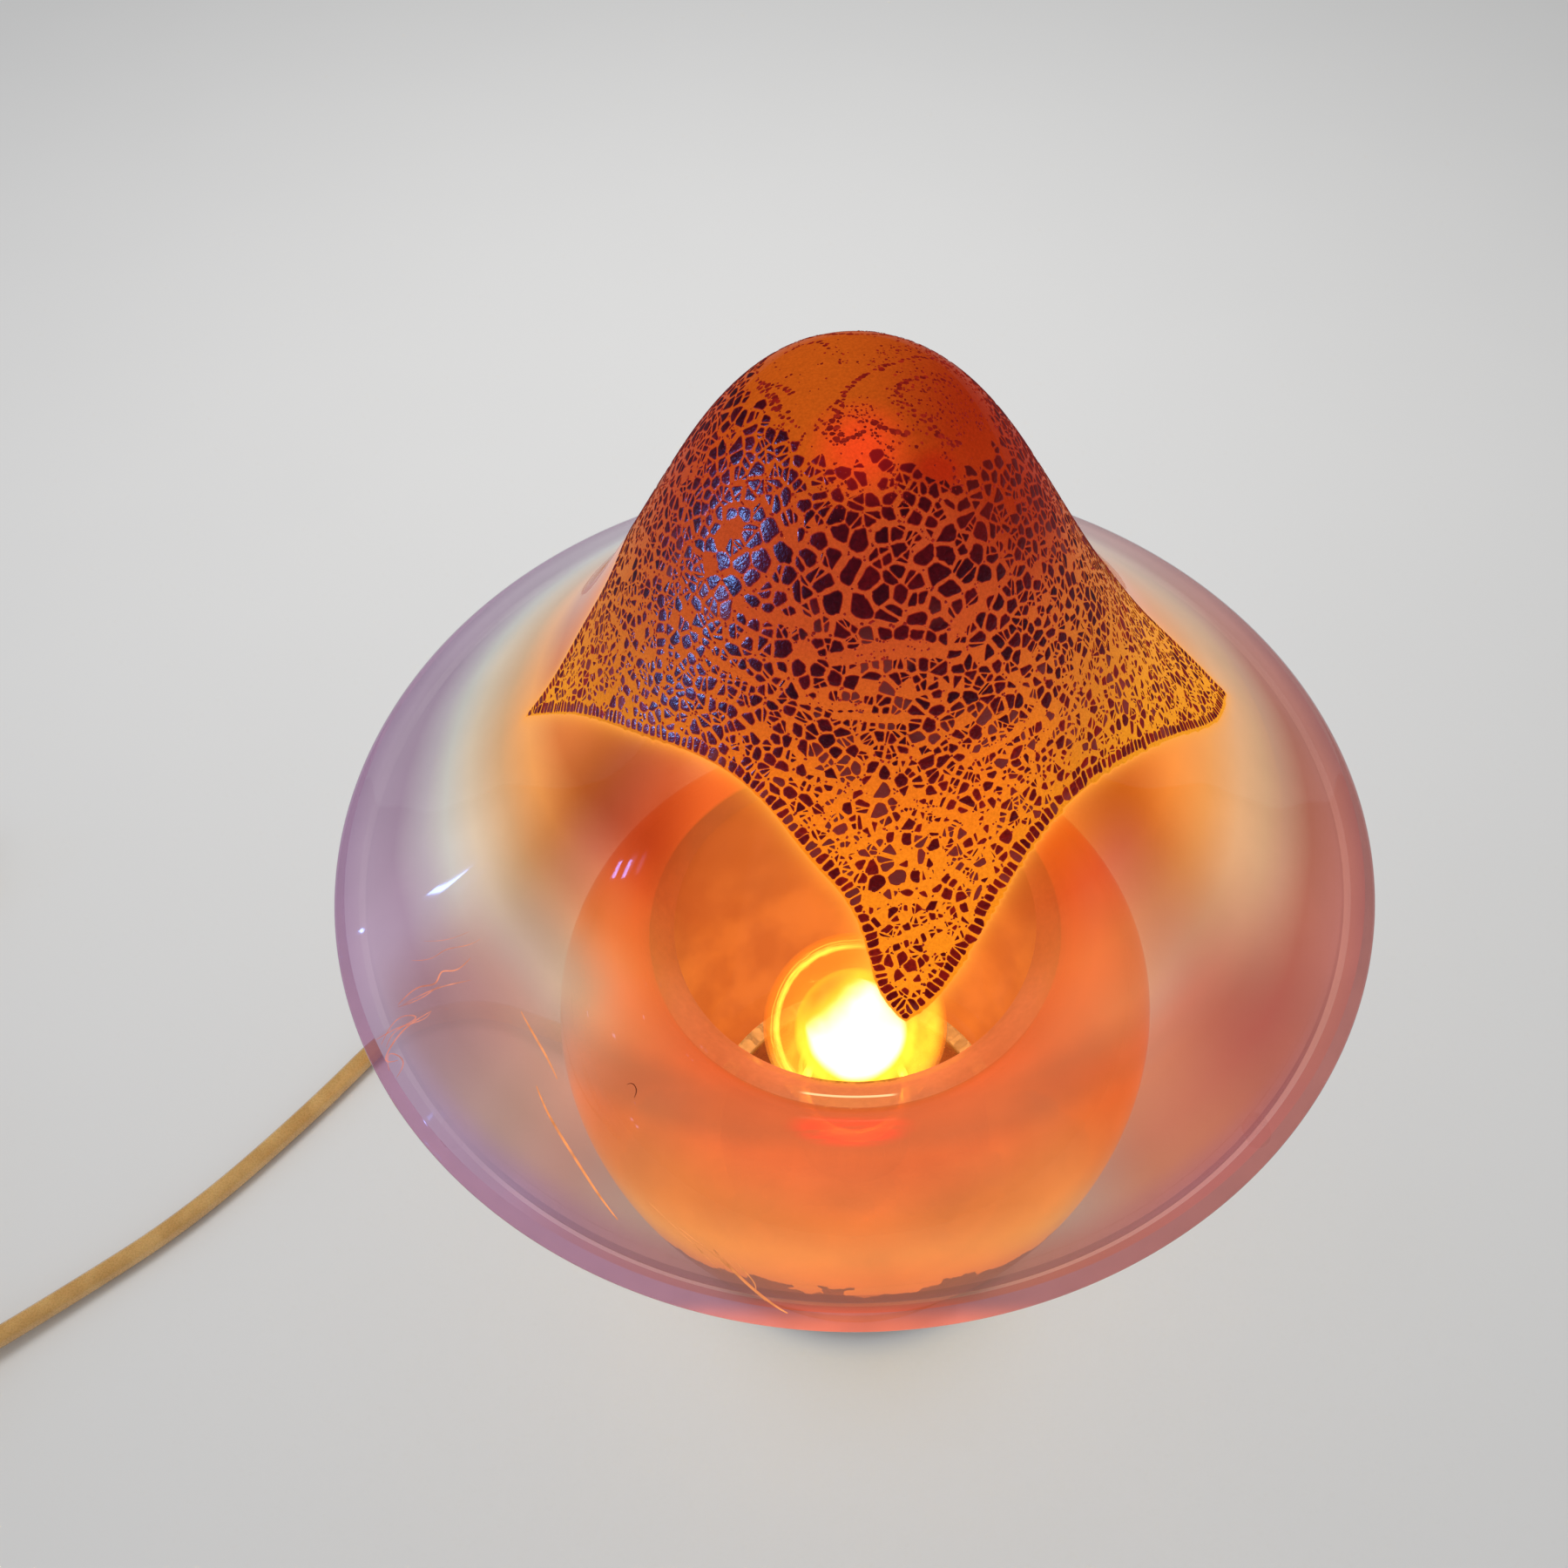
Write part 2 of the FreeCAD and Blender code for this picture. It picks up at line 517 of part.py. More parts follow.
term = []
for x0, x1 in ((13.0, 22.5), (L - 22.5, L - 13.0)):
    tb = box(x0, x1, -3.0, 3.0, 2.2, 6.2)
    tb = tb.cut(cyl(1.3, 20, x0 - 5, 0, 4.2, V(1, 0, 0)))
    term.append(tb)
term.append(box(27.0, 37.0, -2.6, 2.6, 2.2, 3.0).fuse(box(31.6, 32.4, -2.6, 2.6, 3.0, 9.6)).removeSplitter())
keep("switch_terminals", place(Part.makeCompound(term)))

# ------------------------------------------------------------------ cord, switch to coil
e1 = e0 + u * (switch_len + 0.35)
supply_run = [
    (e1.x, e1.y, switch_z),
    (-362.5, -136.5, fz + 0.6),
    (-392.0, -143.5, fz),
    (-418.5, -128.5, fz),
    (-431.5, -98.5, fz),
    (-425.6, -68.0, fz),
    (-416.9, -45.0, fz),
]
keep("cord_supply_run", route("cord_supply_run", supply_run, cord_r))
cx, cy = coil_at
coil = ring(coil_in, coil_out, 0.05, coil_h, cx, cy)
coil = coil.makeFillet(3.2, coil.Edges)
keep("cord_coil", coil)

# tail from the coil's top down to the plug on the floor
tail_run = [
    (cx - 31.0, cy + 11.6, 21.2),
    (cx - 27.2, cy + 29.4, 25.0),
    (cx - 19.0, cy + 48.5, 21.4),
    (cx - 11.0, cy + 66.5, 12.3),
    (cx - 6.2, cy + 84.0, 8.2),
    (cx - 3.6, cy + 99.0, 7.0),
]
keep("cord_tail", route("cord_tail", tail_run, cord_r))

# tie round the coil
c0 = (coil_in + coil_out) / 2
half = (coil_out - coil_in) / 2
tie_outer = box(c0 - half - 1.5, c0 + half + 1.5, -4.0, 4.0, 0.02, coil_h + 1.5)
tie_outer = tie_outer.makeFillet(2.2, [e for e in tie_outer.Edges if abs(e.Vertexes[0].Y - e.Vertexes[1].Y) > 1])
tie_inner = box(c0 - half - 0.55, c0 + half + 0.45, -5.0, 5.0, -1.0, coil_h + 0.4)
tie = tie_outer.cut(tie_inner)
tie = max(tie.Solids, key=lambda s: s.Volume)
tie.Placement = FreeCAD.Placement(V(cx, cy, 0), FreeCAD.Rotation(V(0, 0, 1), -60)).multiply(tie.Placement)
keep("coil_tie", tie)

# ------------------------------------------------------------------ plug
pd = V(tail_run[-1][0] - tail_run[-2][0], tail_run[-1][1] - tail_run[-2][1], 0)
pa = math.degrees(math.atan2(pd.y, pd.x))
pdir = at(1, pa)
p0 = V(tail_run[-1][0], tail_run[-1][1], 7.0) + pdir * 0.25
body_len, body_w, body_t = 35.5, 35.3, 13.7
pz0 = 7.0


def plug_at(s):
    s = s.copy()
    s.Placement = FreeCAD.Placement(V(p0.x, p0.y, 0), FreeCAD.Rotation(V(0, 0, 1), pa)).multiply(s.Placement)
    return s


rel = 22.0
rs = turned([(0.0, 3.7), (0.5, 4.0), (rel - 2.0, 5.0), (rel, 5.3)], V(0, 0, pz0), V(1, 0, 0))
keep("plug_relief", plug_at(rs))
out = Part.makePolygon([V(rel + 0.05, -6.0, 0), V(rel + 9.0, -9.0, 0), V(rel + 18.0, -body_w / 2, 0), V(rel + body_len, -body_w / 2 + 2.0, 0),
                        V(rel + body_len, body_w / 2 - 2.0, 0), V(rel + 18.0, body_w / 2, 0), V(rel + 9.0, 9.0, 0), V(rel + 0.05, 6.0, 0), V(rel + 0.05, -6.0, 0)])
pb = Part.Face(out).extrude(V(0, 0, body_t))
pb.translate(V(0, 0, pz0 - body_t / 2))
pb = pb.makeFillet(2.0, pb.Edges)
for y in (-9.5, 9.5):
    pb = pb.cut(cyl(1.7, 8.0, rel + body_len - 7.0, y, pz0, V(1, 0, 0)))
keep("plug_body", plug_at(one(pb)))
pins, sleeves = [], []
for y in (-9.5, 9.5):
    p = add(cyl(1.6, 6.8, rel + body_len - 6.9, y, pz0, V(1, 0, 0)), cyl(1.35, 11.0, rel + body_len - 0.5, y, pz0, V(1, 0, 0)),
            cyl(2.0, 8.0, rel + body_len + 10.0, y, pz0, V(1, 0, 0)))
    tipc = Part.makeCone(2.0, 1.2, 1.0, V(rel + body_len + 18.0, y, pz0), V(1, 0, 0))
    pins.append(one(add(p, tipc)))
    sl = cyl(1.75, 9.9, rel + body_len + 0.05, y, pz0, V(1, 0, 0)).cut(cyl(1.4, 12, rel + body_len - 1, y, pz0, V(1, 0, 0)))
    sleeves.append(sl)
keep("plug_pins", plug_at(Part.makeCompound(pins)))
keep("plug_pin_sleeves", plug_at(Part.makeCompound(sleeves)))
tip = p0 + pdir * (rel + body_len + 18.0)
print("plug pins point", round(pdir.x, 5), round(pdir.y, 5), "pin tips about", tip)
sv = at(1, pa + 90)
for k in (-9.5, 9.5):
    q = p0 + pdir * (rel + body_len + 14.0) + sv * k
    print("pin mid", round(q.x, 3), round(q.y, 3), pz0)
print("rocker axis point", place(cyl(0.1, 0.1, px, 0, pz)).BoundBox.Center, "axis", at(1, switch_dir + 90))

# ------------------------------------------------------------------ write
for name, s in shapes.items():
    bad = "" if s.isValid() else "  NOT VALID"
    print("%-20s %-9s solids %2d vol %10.1f z %7.2f..%7.2f%s" % (name, s.ShapeType, len(s.Solids), s.Volume, s.BoundBox.ZMin, s.BoundBox.ZMax, bad))
    s.exportStep("parts/%s.step" % name)
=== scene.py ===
import json
import math
import random
import bpy
import bmesh
import numpy as np
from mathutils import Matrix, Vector, noise
from mathutils.geometry import delaunay_2d_cdt


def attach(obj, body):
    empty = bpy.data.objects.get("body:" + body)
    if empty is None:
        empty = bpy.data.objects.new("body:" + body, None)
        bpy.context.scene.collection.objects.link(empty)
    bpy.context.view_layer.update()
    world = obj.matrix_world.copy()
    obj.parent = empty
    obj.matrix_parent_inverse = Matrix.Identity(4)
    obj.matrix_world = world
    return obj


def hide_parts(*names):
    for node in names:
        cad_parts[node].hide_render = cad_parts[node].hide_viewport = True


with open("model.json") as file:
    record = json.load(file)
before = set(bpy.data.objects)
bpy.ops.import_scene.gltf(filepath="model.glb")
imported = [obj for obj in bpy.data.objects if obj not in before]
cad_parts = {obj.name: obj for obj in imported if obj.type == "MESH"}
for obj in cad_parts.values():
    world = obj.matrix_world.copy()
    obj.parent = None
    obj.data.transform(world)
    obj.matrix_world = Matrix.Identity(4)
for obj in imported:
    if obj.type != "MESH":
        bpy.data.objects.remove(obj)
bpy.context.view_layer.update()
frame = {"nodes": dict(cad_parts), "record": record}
nodes = frame["nodes"]
scene = bpy.context.scene

# ------------------------------------------------------------------ camera
cam_data = bpy.data.cameras.new("camera")
cam_data.sensor_fit = "HORIZONTAL"
cam_data.sensor_width = 36.0
cam_data.lens = 31.0
cam_data.shift_x = -0.0458
cam_data.clip_start = 0.01
cam_data.clip_end = 50.0
cam = bpy.data.objects.new("camera", cam_data)
scene.collection.objects.link(cam)
cam.location = (0.0, -0.192482, 0.450636)
cam.rotation_mode = "QUATERNION"
cam.rotation_quaternion = Vector((0.000623, 0.615675, -0.788000)).to_track_quat("-Z", "Y")
scene.camera = cam


# ------------------------------------------------------------------ helpers
def mm(p):
    return tuple(v * 0.001 for v in p)


def mesh_object(name, verts, faces, smooth=True):
    me = bpy.data.meshes.new(name)
    me.from_pydata([tuple(v) for v in verts], [], faces)
    me.validate()
    me.update()
    if smooth:
        me.shade_smooth()
    ob = bpy.data.objects.new(name, me)
    scene.collection.objects.link(ob)
    return ob


def spline_points(pts, n, alpha=0.5):
    """n points along a natural cubic spline through pts, spaced evenly by chord parameter."""
    p = np.array(pts, float)
    t = np.concatenate([[0], np.cumsum(np.linalg.norm(np.diff(p, axis=0), axis=1) ** alpha)])
    m = len(p)
    h = np.diff(t)
    a = np.zeros((m, m))
    b = np.zeros((m, p.shape[1]))
    a[0, 0] = a[-1, -1] = 1
    for i in range(1, m - 1):
        a[i, i - 1], a[i, i], a[i, i + 1] = h[i - 1], 2 * (h[i - 1] + h[i]), h[i]
        b[i] = 6 * ((p[i + 1] - p[i]) / h[i] - (p[i] - p[i - 1]) / h[i - 1])
    s = np.linalg.solve(a, b)
    fine = np.linspace(0, t[-1], 4000)
    k = np.clip(np.searchsorted(t, fine, side="right") - 1, 0, m - 2)
    d = (fine - t[k])[:, None]
    hk = h[k][:, None]
    c1 = (p[k + 1] - p[k]) / hk - hk * (2 * s[k] + s[k + 1]) / 6
    q = p[k] + c1 * d + s[k] / 2 * d**2 + (s[k + 1] - s[k]) / (6 * hk) * d**3
    length = np.concatenate([[0], np.cumsum(np.linalg.norm(np.diff(q, axis=0), axis=1))])
    want = np.linspace(0, length[-1], n)
    return np.stack([np.interp(want, length, q[:, i]) for i in range(q.shape[1])], 1)


def offset_curve(q, by):
    """The (r, z) curve moved to the left of its direction by `by` mm."""
    d = np.gradient(q, axis=0)
    d /= np.linalg.norm(d, axis=1)[:, None]
    return q + by * np.stack([-d[:, 1], d[:, 0]], 1)


def lathe(name, profile, seg=360, closed=False, wobble=None, zones=None):
    """A surface of revolution in metres of an (r, z) profile in mm. Points with r 0 become poles."""
    prof = np.array(profile, float)
    az = np.linspace(0, 2 * np.pi, seg, endpoint=False)
    verts, rows = [], []
    for i, (r, z) in enumerate(prof):
        if r < 1e-6:
            rows.append([len(verts)])
            verts.append((0, 0, z))
        else:
            rr = np.full(seg, r)
            zz = np.full(seg, z)
            if wobble is not None:
                dr, dz = wobble(r, z, az)
                rr = rr + dr
                zz = zz + dz
            start = len(verts)
            rows.append(list(range(start, start + seg)))
            verts.extend(zip(rr * np.cos(az), rr * np.sin(az), zz))
    faces, tags = [], []
    pairs = list(zip(range(len(rows) - 1), range(1, len(rows))))
    if closed:
        pairs.append((len(rows) - 1, 0))
    for i, j in pairs:
        a, b = rows[i], rows[j]
        tag = zones(i) if zones else 0
        if len(a) == 1 and len(b) == 1:
            continue
        for k in range(seg):
            k2 = (k + 1) % seg
            if len(a) == 1:
                faces.append((a[0], b[k], b[k2]))
            elif len(b) == 1:
                faces.append((a[k], b[0], a[k2]))
            else:
                faces.append((a[k], b[k], b[k2], a[k2]))
            tags.append(tag)
    ob = mesh_object(name, np.array(verts) * 0.001, faces)
    if zones:
        ob.data.polygons.foreach_set("material_index", np.array(tags, np.int32))
    return ob


def curve_tube(name, points, radius, order=3, resolution=12, bevel=6, radii=None, cyclic=False):
    """A NURBS curve in metres through the control points, with a round bevel."""
    cu = bpy.data.curves.new(name, "CURVE")
    cu.dimensions = "3D"
    sp = cu.splines.new("NURBS")
    sp.points.add(len(points) - 1)
    for i, p in enumerate(points):
        sp.points[i].co = (p[0], p[1], p[2], 1.0)
        if radii is not None:
            sp.points[i].radius = radii[i]
    sp.order_u = order
    sp.use_endpoint_u = not cyclic
    sp.use_cyclic_u = cyclic
    sp.resolution_u = resolution
    cu.bevel_depth = radius
    cu.bevel_resolution = bevel
    cu.use_fill_caps = True
    ob = bpy.data.objects.new(name, cu)
    scene.collection.objects.link(ob)
    return ob


# ------------------------------------------------------------------ node graphs
class Graph:
    """A material's node tree, built by short calls. Values may be sockets or plain numbers."""

    def __init__(self, name):
        self.m = bpy.data.materials.new(name)
        self.m.use_nodes = True
        self.t = self.m.node_tree
        self.t.nodes.clear()
        self.out = self.t.nodes.new("ShaderNodeOutputMaterial")

    def node(self, kind, **props):
        n = self.t.nodes.new(kind)
        for k, v in props.items():
            setattr(n, k, v)
        return n

    def put(self, socket, v):
        if isinstance(v, bpy.types.NodeSocket):
            self.t.links.new(v, socket)
        elif v is not None:
            if hasattr(socket.default_value, "__len__"):
                want = len(socket.default_value)
                v = tuple(v) if hasattr(v, "__len__") else (v,) * want
                if len(v) == 3 and want == 4:
                    v = (*v, 1.0)
            socket.default_value = v

    def math(self, op, a, b=None, c=None, clamp=False):
        n = self.node("ShaderNodeMath", operation=op, use_clamp=clamp)
        for s, v in zip(n.inputs, (a, b, c)):
            self.put(s, v)
        return n.outputs[0]

    def add(self, a, b): return self.math("ADD", a, b)
    def sub(self, a, b): return self.math("SUBTRACT", a, b)
    def mul(self, a, b): return self.math("MULTIPLY", a, b)
    def div(self, a, b): return self.math("DIVIDE", a, b)
    def lo(self, a, b): return self.math("MINIMUM", a, b)
    def hi(self, a, b): return self.math("MAXIMUM", a, b)
    def less(self, a, b): return self.math("LESS_THAN", a, b)
    def more(self, a, b): return self.math("GREATER_THAN", a, b)
    def inv(self, a): return self.math("SUBTRACT", 1.0, a, clamp=True)

    def vmath(self, op, a, b=None):
        n = self.node("ShaderNodeVectorMath", operation=op)
        self.put(n.inputs[0], a)
        if b is not None:
            self.put(n.inputs["Scale"] if op == "SCALE" else n.inputs[1], b)
        return n.outputs["Value"] if op in ("LENGTH", "DOT_PRODUCT", "DISTANCE") else n.outputs[0]

    def smooth(self, x, a, b, lo=0.0, hi=1.0, kind="SMOOTHSTEP"):
        n = self.node("ShaderNodeMapRange", interpolation_type=kind, clamp=True)
        for s, v in zip((n.inputs[0], n.inputs[1], n.inputs[2], n.inputs[3], n.inputs[4]), (x, a, b, lo, hi)):
            self.put(s, v)
        return n.outputs[0]

    def line(self, x, a, b, lo=0.0, hi=1.0):
        return self.smooth(x, a, b, lo, hi, "LINEAR")

    def mixf(self, f, a, b):
        n = self.node("ShaderNodeMix", data_type="FLOAT")
        self.put(n.inputs[0], f), self.put(n.inputs[2], a), self.put(n.inputs[3], b)
        return n.outputs[0]

    def mixc(self, f, a, b, blend="MIX"):
        n = self.node("ShaderNodeMix", data_type="RGBA", blend_type=blend)
        self.put(n.inputs[0], f), self.put(n.inputs[6], a), self.put(n.inputs[7], b)
        return n.outputs[2]

    def scale_colour(self, c, f):
        return self.vmath("SCALE", c, f)

    def object_mm(self):
        tc = self.node("ShaderNodeTexCoord")
        return self.vmath("SCALE", tc.outputs["Object"], 1000.0)

    def xyz(self, v):
        n = self.node("ShaderNodeSeparateXYZ")
        self.put(n.inputs[0], v)
        return n.outputs[0], n.outputs[1], n.outputs[2]

    def combine(self, x, y, z):
        n = self.node("ShaderNodeCombineXYZ")
        self.put(n.inputs[0], x), self.put(n.inputs[1], y), self.put(n.inputs[2], z)
        return n.outputs[0]

    def noise(self, v, scale, detail=2.0, rough=0.5, colour=False, w=None):
        n = self.node("ShaderNodeTexNoise", noise_dimensions="4D" if w is not None else "3D")
        self.put(n.inputs["Vector"], v)
        if w is not None:
            self.put(n.inputs["W"], w)
        self.put(n.inputs["Scale"], scale)
        self.put(n.inputs["Detail"], detail)
        self.put(n.inputs["Roughness"], rough)
        return n.outputs["Color"] if colour else n.outputs[0]

    def cells(self, v, scale, feature="F1", dims="3D", randomness=1.0):
        n = self.node("ShaderNodeTexVoronoi", feature=feature, voronoi_dimensions=dims)
        self.put(n.inputs["Vector"], v)
        self.put(n.inputs["Scale"], scale)
        self.put(n.inputs["Randomness"], randomness)
        return (n.outputs["Distance"], n.outputs["Color"]) if feature != "DISTANCE_TO_EDGE" else n.outputs["Distance"]

    def channels(self, c):
        n = self.node("ShaderNodeSeparateColor")
        self.put(n.inputs[0], c)
        return n.outputs[0], n.outputs[1], n.outputs[2]

    def ramp(self, f, stops, interp="LINEAR"):
        n = self.node("ShaderNodeValToRGB")
        r = n.color_ramp
        r.interpolation = interp
        while len(r.elements) > 1:
            r.elements.remove(r.elements[-1])
        r.elements[0].position = stops[0][0]
        r.elements[0].color = (*stops[0][1], 1.0)
        for p, c in stops[1:]:
            r.elements.new(p).color = (*c, 1.0)
        self.put(n.inputs[0], f)
        return n.outputs[0]

    def attribute(self, name):
        n = self.node("ShaderNodeAttribute", attribute_name=name)
        return n.outputs["Fac"]

    def facing(self, blend=0.5, normal=None):
        n = self.node("ShaderNodeLayerWeight")
        n.inputs[0].default_value = blend
        if normal is not None:
            self.put(n.inputs["Normal"], normal)
        return n.outputs["Facing"]

    def fresnel(self, ior=1.5, normal=None):
        """How much a surface mirrors, the same from both sides: a thin wall of glass never mirrors all of the light."""
        f0 = ((ior - 1) / (ior + 1)) ** 2
        return self.add(self.mul(self.math("POWER", self.facing(0.5, normal), 5.0), 1 - f0), f0)

    def bump(self, height, strength, distance, normal=None):
        n = self.node("ShaderNodeBump")
        self.put(n.inputs["Height"], height)
        self.put(n.inputs["Strength"], strength)
        self.put(n.inputs["Distance"], distance)
        if normal is not None:
            self.put(n.inputs["Normal"], normal)
        return n.outputs[0]

    def emission(self, colour, strength=1.0):
        n = self.node("ShaderNodeEmission")
        self.put(n.inputs[0], colour), self.put(n.inputs[1], strength)
        return n.outputs[0]

    def clear(self, colour):
        n = self.node("ShaderNodeBsdfTransparent")
        self.put(n.inputs[0], colour)
        return n.outputs[0]

    def glossy(self, colour, rough, normal=None):
        n = self.node("ShaderNodeBsdfAnisotropic")
        self.put(n.inputs["Color"], colour), self.put(n.inputs["Roughness"], rough)
        if normal is not None:
            self.put(n.inputs["Normal"], normal)
        return n.outputs[0]

    def both(self, a, b):
        n = self.node("ShaderNodeAddShader")
        self.put(n.inputs[0], a), self.put(n.inputs[1], b)
        return n.outputs[0]

    def mixs(self, f, a, b):
        n = self.node("ShaderNodeMixShader")
        self.put(n.inputs[0], f), self.put(n.inputs[1], a), self.put(n.inputs[2], b)
        return n.outputs[0]

    def principled(self, **inputs):
        n = self.node("ShaderNodeBsdfPrincipled")
        for k, v in inputs.items():
            self.put(n.inputs[k.replace("_", " ")], v)
        return n.outputs[0]

    def done(self, shader, light_sampling=False):
        self.put(self.out.inputs["Surface"], shader)
        if not light_sampling:
            self.m.cycles.emission_sampling = "NONE"
        return self.m


def paint(ob, *materials):
    """Gives the object these materials; clearing the slots would also forget which face has which, so that is kept."""
    which = None
    if len(materials) > 1:
        which = np.zeros(len(ob.data.polygons), np.int32)
        ob.data.polygons.foreach_get("material_index", which)
    ob.data.materials.clear()
    for m in materials:
        ob.data.materials.append(m)
    if which is not None:
        ob.data.polygons.foreach_set("material_index", which)
    return ob


# ------------------------------------------------------------------ cord
CORD_D = 6.8
lamp_run = [(-86.73, 31.57, 7.4), (-112.3, 41.3, 5.9), (-138.8, 52.6, 3.55), (-168, 45, 3.55), (-190.5, 12, 3.55),
            (-222.8, -27.4, 3.55), (-256.5, -54.8, 3.95), (-287.72, -79.78, 6.8)]
supply_run = [(-338.7, -119.6, 6.8), (-362.5, -136.5, 4.15), (-392, -143.5, 3.55), (-418.5, -128.5, 3.55),
              (-431.5, -98.5, 3.55), (-425.6, -68, 3.55)]
tail_run = [(-402.2, -10.6, 18.8), (-394, 8.5, 17.6), (-386, 26.5, 11.0), (-381.2, 44, 7.6), (-378.6, 59, 7.0),
            (-376.6, 71.5, 7.0)]
coil = []
per_turn = 16
first, last = 187.0, 160.0 - 1800.0
count = int(round((first - last) / 360 * per_turn))


def ease(x, a, b):
    t = min(1.0, max(0.0, (x - a) / (b - a)))
    return t * t * (3 - 2 * t)


for i in range(count + 1):
    turned = (first - last) * i / count
    th = math.radians(first - turned)
    r = 41.2 - 6.8 * ease(turned, 290, 345) + 6.8 * ease(turned, 1010, 1065) - 6.8 * ease(turned, 1375, 1435)
    z = 3.55 + 6.8 * ease(turned, 655, 710) + 6.8 * ease(turned, 1375, 1435)
    r = r / 0.981 + 0.10 * math.sin(turned * 0.11)
    coil.append((-375 + r * math.cos(th), -40 + r * math.sin(th), z))
route = lamp_run + supply_run + coil + tail_run
cord = curve_tube("power_cord", [mm(p) for p in route], CORD_D / 2000, resolution=10, bevel=8)

# ------------------------------------------------------------------ cap and base glass
RIM_Z, CAP_R = 196.0, 120.0
cap_outline = [(0, 120.3), (6, 120), (12, 118.9), (18, 115.6), (24, 109.9), (30, 102.1), (36, 92.5), (42, 82.2), (48, 71.9),
               (54, 62.1), (60, 53.2), (66, 45.4), (72, 38.7), (78, 32.8), (84, 27.3), (90, 22.1), (96, 17.15), (102, 12.5),
               (108, 8.1), (113, 4.6), (117.2, 1.85)]
base_outline = [(51.5, 15), (57.5, 18.2), (64, 27), (70.5, 41), (76.6, 59), (81.6, 80), (84, 101), (82.6, 118.5),
                (76.6, 130.5), (67.5, 136.9), (59.5, 140.6), (54.7, 146), (57.2, 152.6), (65.5, 159.6), (79, 168.6),
                (96, 180.2), (113.4, 191.5)]


def blown(r, z, az):
    """The slight unevenness of hand-blown glass, only inwards."""
    k = min(1.0, r / 60.0)
    dr = -0.16 * k * (1 + np.sin(2 * az + 0.7 + z * 0.01)) - 0.08 * k * (1 + np.sin(5 * az + z * 0.03))
    return dr, np.zeros_like(az)


outer = spline_points([(r, z + RIM_Z) for r, z in cap_outline], 170)
outer[0, 0] = 0
inner = offset_curve(outer, -4.0)[::-1]
inner = inner[inner[:, 0] > 0.6][::2]
inner = np.vstack([inner, [0, outer[0, 1] - 4.0]])
lip = np.array([(118.9, 196.75), (119.8, 196.3), (119.97, 195.8), (119.6, 195.1), (118.8, 194.4), (117.6, 193.95),
                (116.5, 193.9), (115.6, 194.15)])
inner = inner[inner[:, 1] > 194.3]
cap_profile = np.vstack([outer, lip, inner])
n_out, n_lip = len(outer), len(lip)
cap_ob = lathe("cap_glass_shell", cap_profile, 360, wobble=blown,
               zones=lambda i: 0 if i < n_out - 1 else (1 if i < n_out + n_lip else 2))

b_out = spline_points(base_outline, 150)
b_in = offset_curve(b_out, 3.5)
b_in[:, 0] -= 3.4 * np.exp(-((b_in[:, 1] - 147.5) / 4.5) ** 2)
keep_in = b_in[b_in[:, 1] > 20.2][::-1][::2]
b_lip = np.array([(113.9, 192.6), (113.75, 193.7), (113.0, 194.5), (112.0, 194.6), (111.3, 194.15)])
b_foot = np.array([(50.2, 19.0), (46.2, 18.4), (45.5, 17.4), (45.5, 15.4), (46.2, 15.0), (50.8, 15.0)])
base_profile = np.vstack([b_out, b_lip, keep_in, b_foot])
nb = len(b_out)
base_ob = lathe("base_glass_shell", base_profile, 320, closed=True, wobble=blown,
                zones=lambda i: 0 if i < nb + 2 else 1)

# the leaf's outline on the cap: (share of the rim's radius, azimuth), with four corners
leaf_sides = [
    [(.577, -173.4), (.484, -159.9), (.428, -138.2), (.422, -111.5), (.470, -98.1), (.527, -89.5), (.596, -86.6), (.634, -83.2)],
    [(.634, -83.2), (.608, -77.5), (.528, -65.1), (.481, -46.2), (.504, -27.7), (.575, -11.2), (.660, -0.4), (.711, 8.2)],
    [(.711, 8.2), (.688, 9.6), (.611, 14.6), (.517, 19.0), (.455, 30.0), (.425, 48.0), (.445, 70.0), (.505, 86.0), (.60, 97.0)],
    [(.60, 97.0), (.505, 109.0), (.440, 123.0), (.408, 141.0), (.392, 160.0), (.399, 177.4), (.449, 180.6), (.507, 184.4), (.577, 186.6)],
]
line = []
for side in leaf_sides:
    q = np.array([(r * CAP_R * math.cos(math.radians(a)), r * CAP_R * math.sin(math.radians(a))) for r, a in side])
    line.append(spline_points(q, 420)[:-1])
line = np.vstack(line)
line_r = np.hypot(line[:, 0], line[:, 1])
line3 = np.column_stack([line, np.interp(line_r, outer[:, 0], outer[:, 1])])
line_s = np.concatenate([[0], np.cumsum(np.linalg.norm(np.diff(line3, axis=0), axis=1))])


def leaf_fields(co):
    """Distance in mm from the leaf's outline, negative inside, for each point in mm."""
    d = np.full(len(co), 60.0)
    rough = line3[::14]
    for a in range(0, len(co), 20000):
        b = slice(a, a + 20000)
        d[b] = np.sqrt(((co[b, None, :] - rough[None, :, :]) ** 2).sum(2).min(1))
    close = np.flatnonzero(d < 9.0)
    for a in range(0, len(close), 4000):
        b = close[a:a + 4000]
        d[b] = np.sqrt(((co[b, None, :] - line3[None, :, :]) ** 2).sum(2).min(1))
    poly = line[::6]
    nxt = np.roll(poly, -1, 0)
    inside = np.zeros(len(co), bool)
    for (x1, y1), (x2, y2) in zip(poly, nxt):
        cross = (y1 > co[:, 1]) != (y2 > co[:, 1])
        with np.errstate(divide="ignore", invalid="ignore"):
            at = (x2 - x1) * (co[:, 1] - y1) / (y2 - y1 if y2 != y1 else 1e-9) + x1
        inside ^= cross & (co[:, 0] < at)
    return np.where(inside, -d, d)


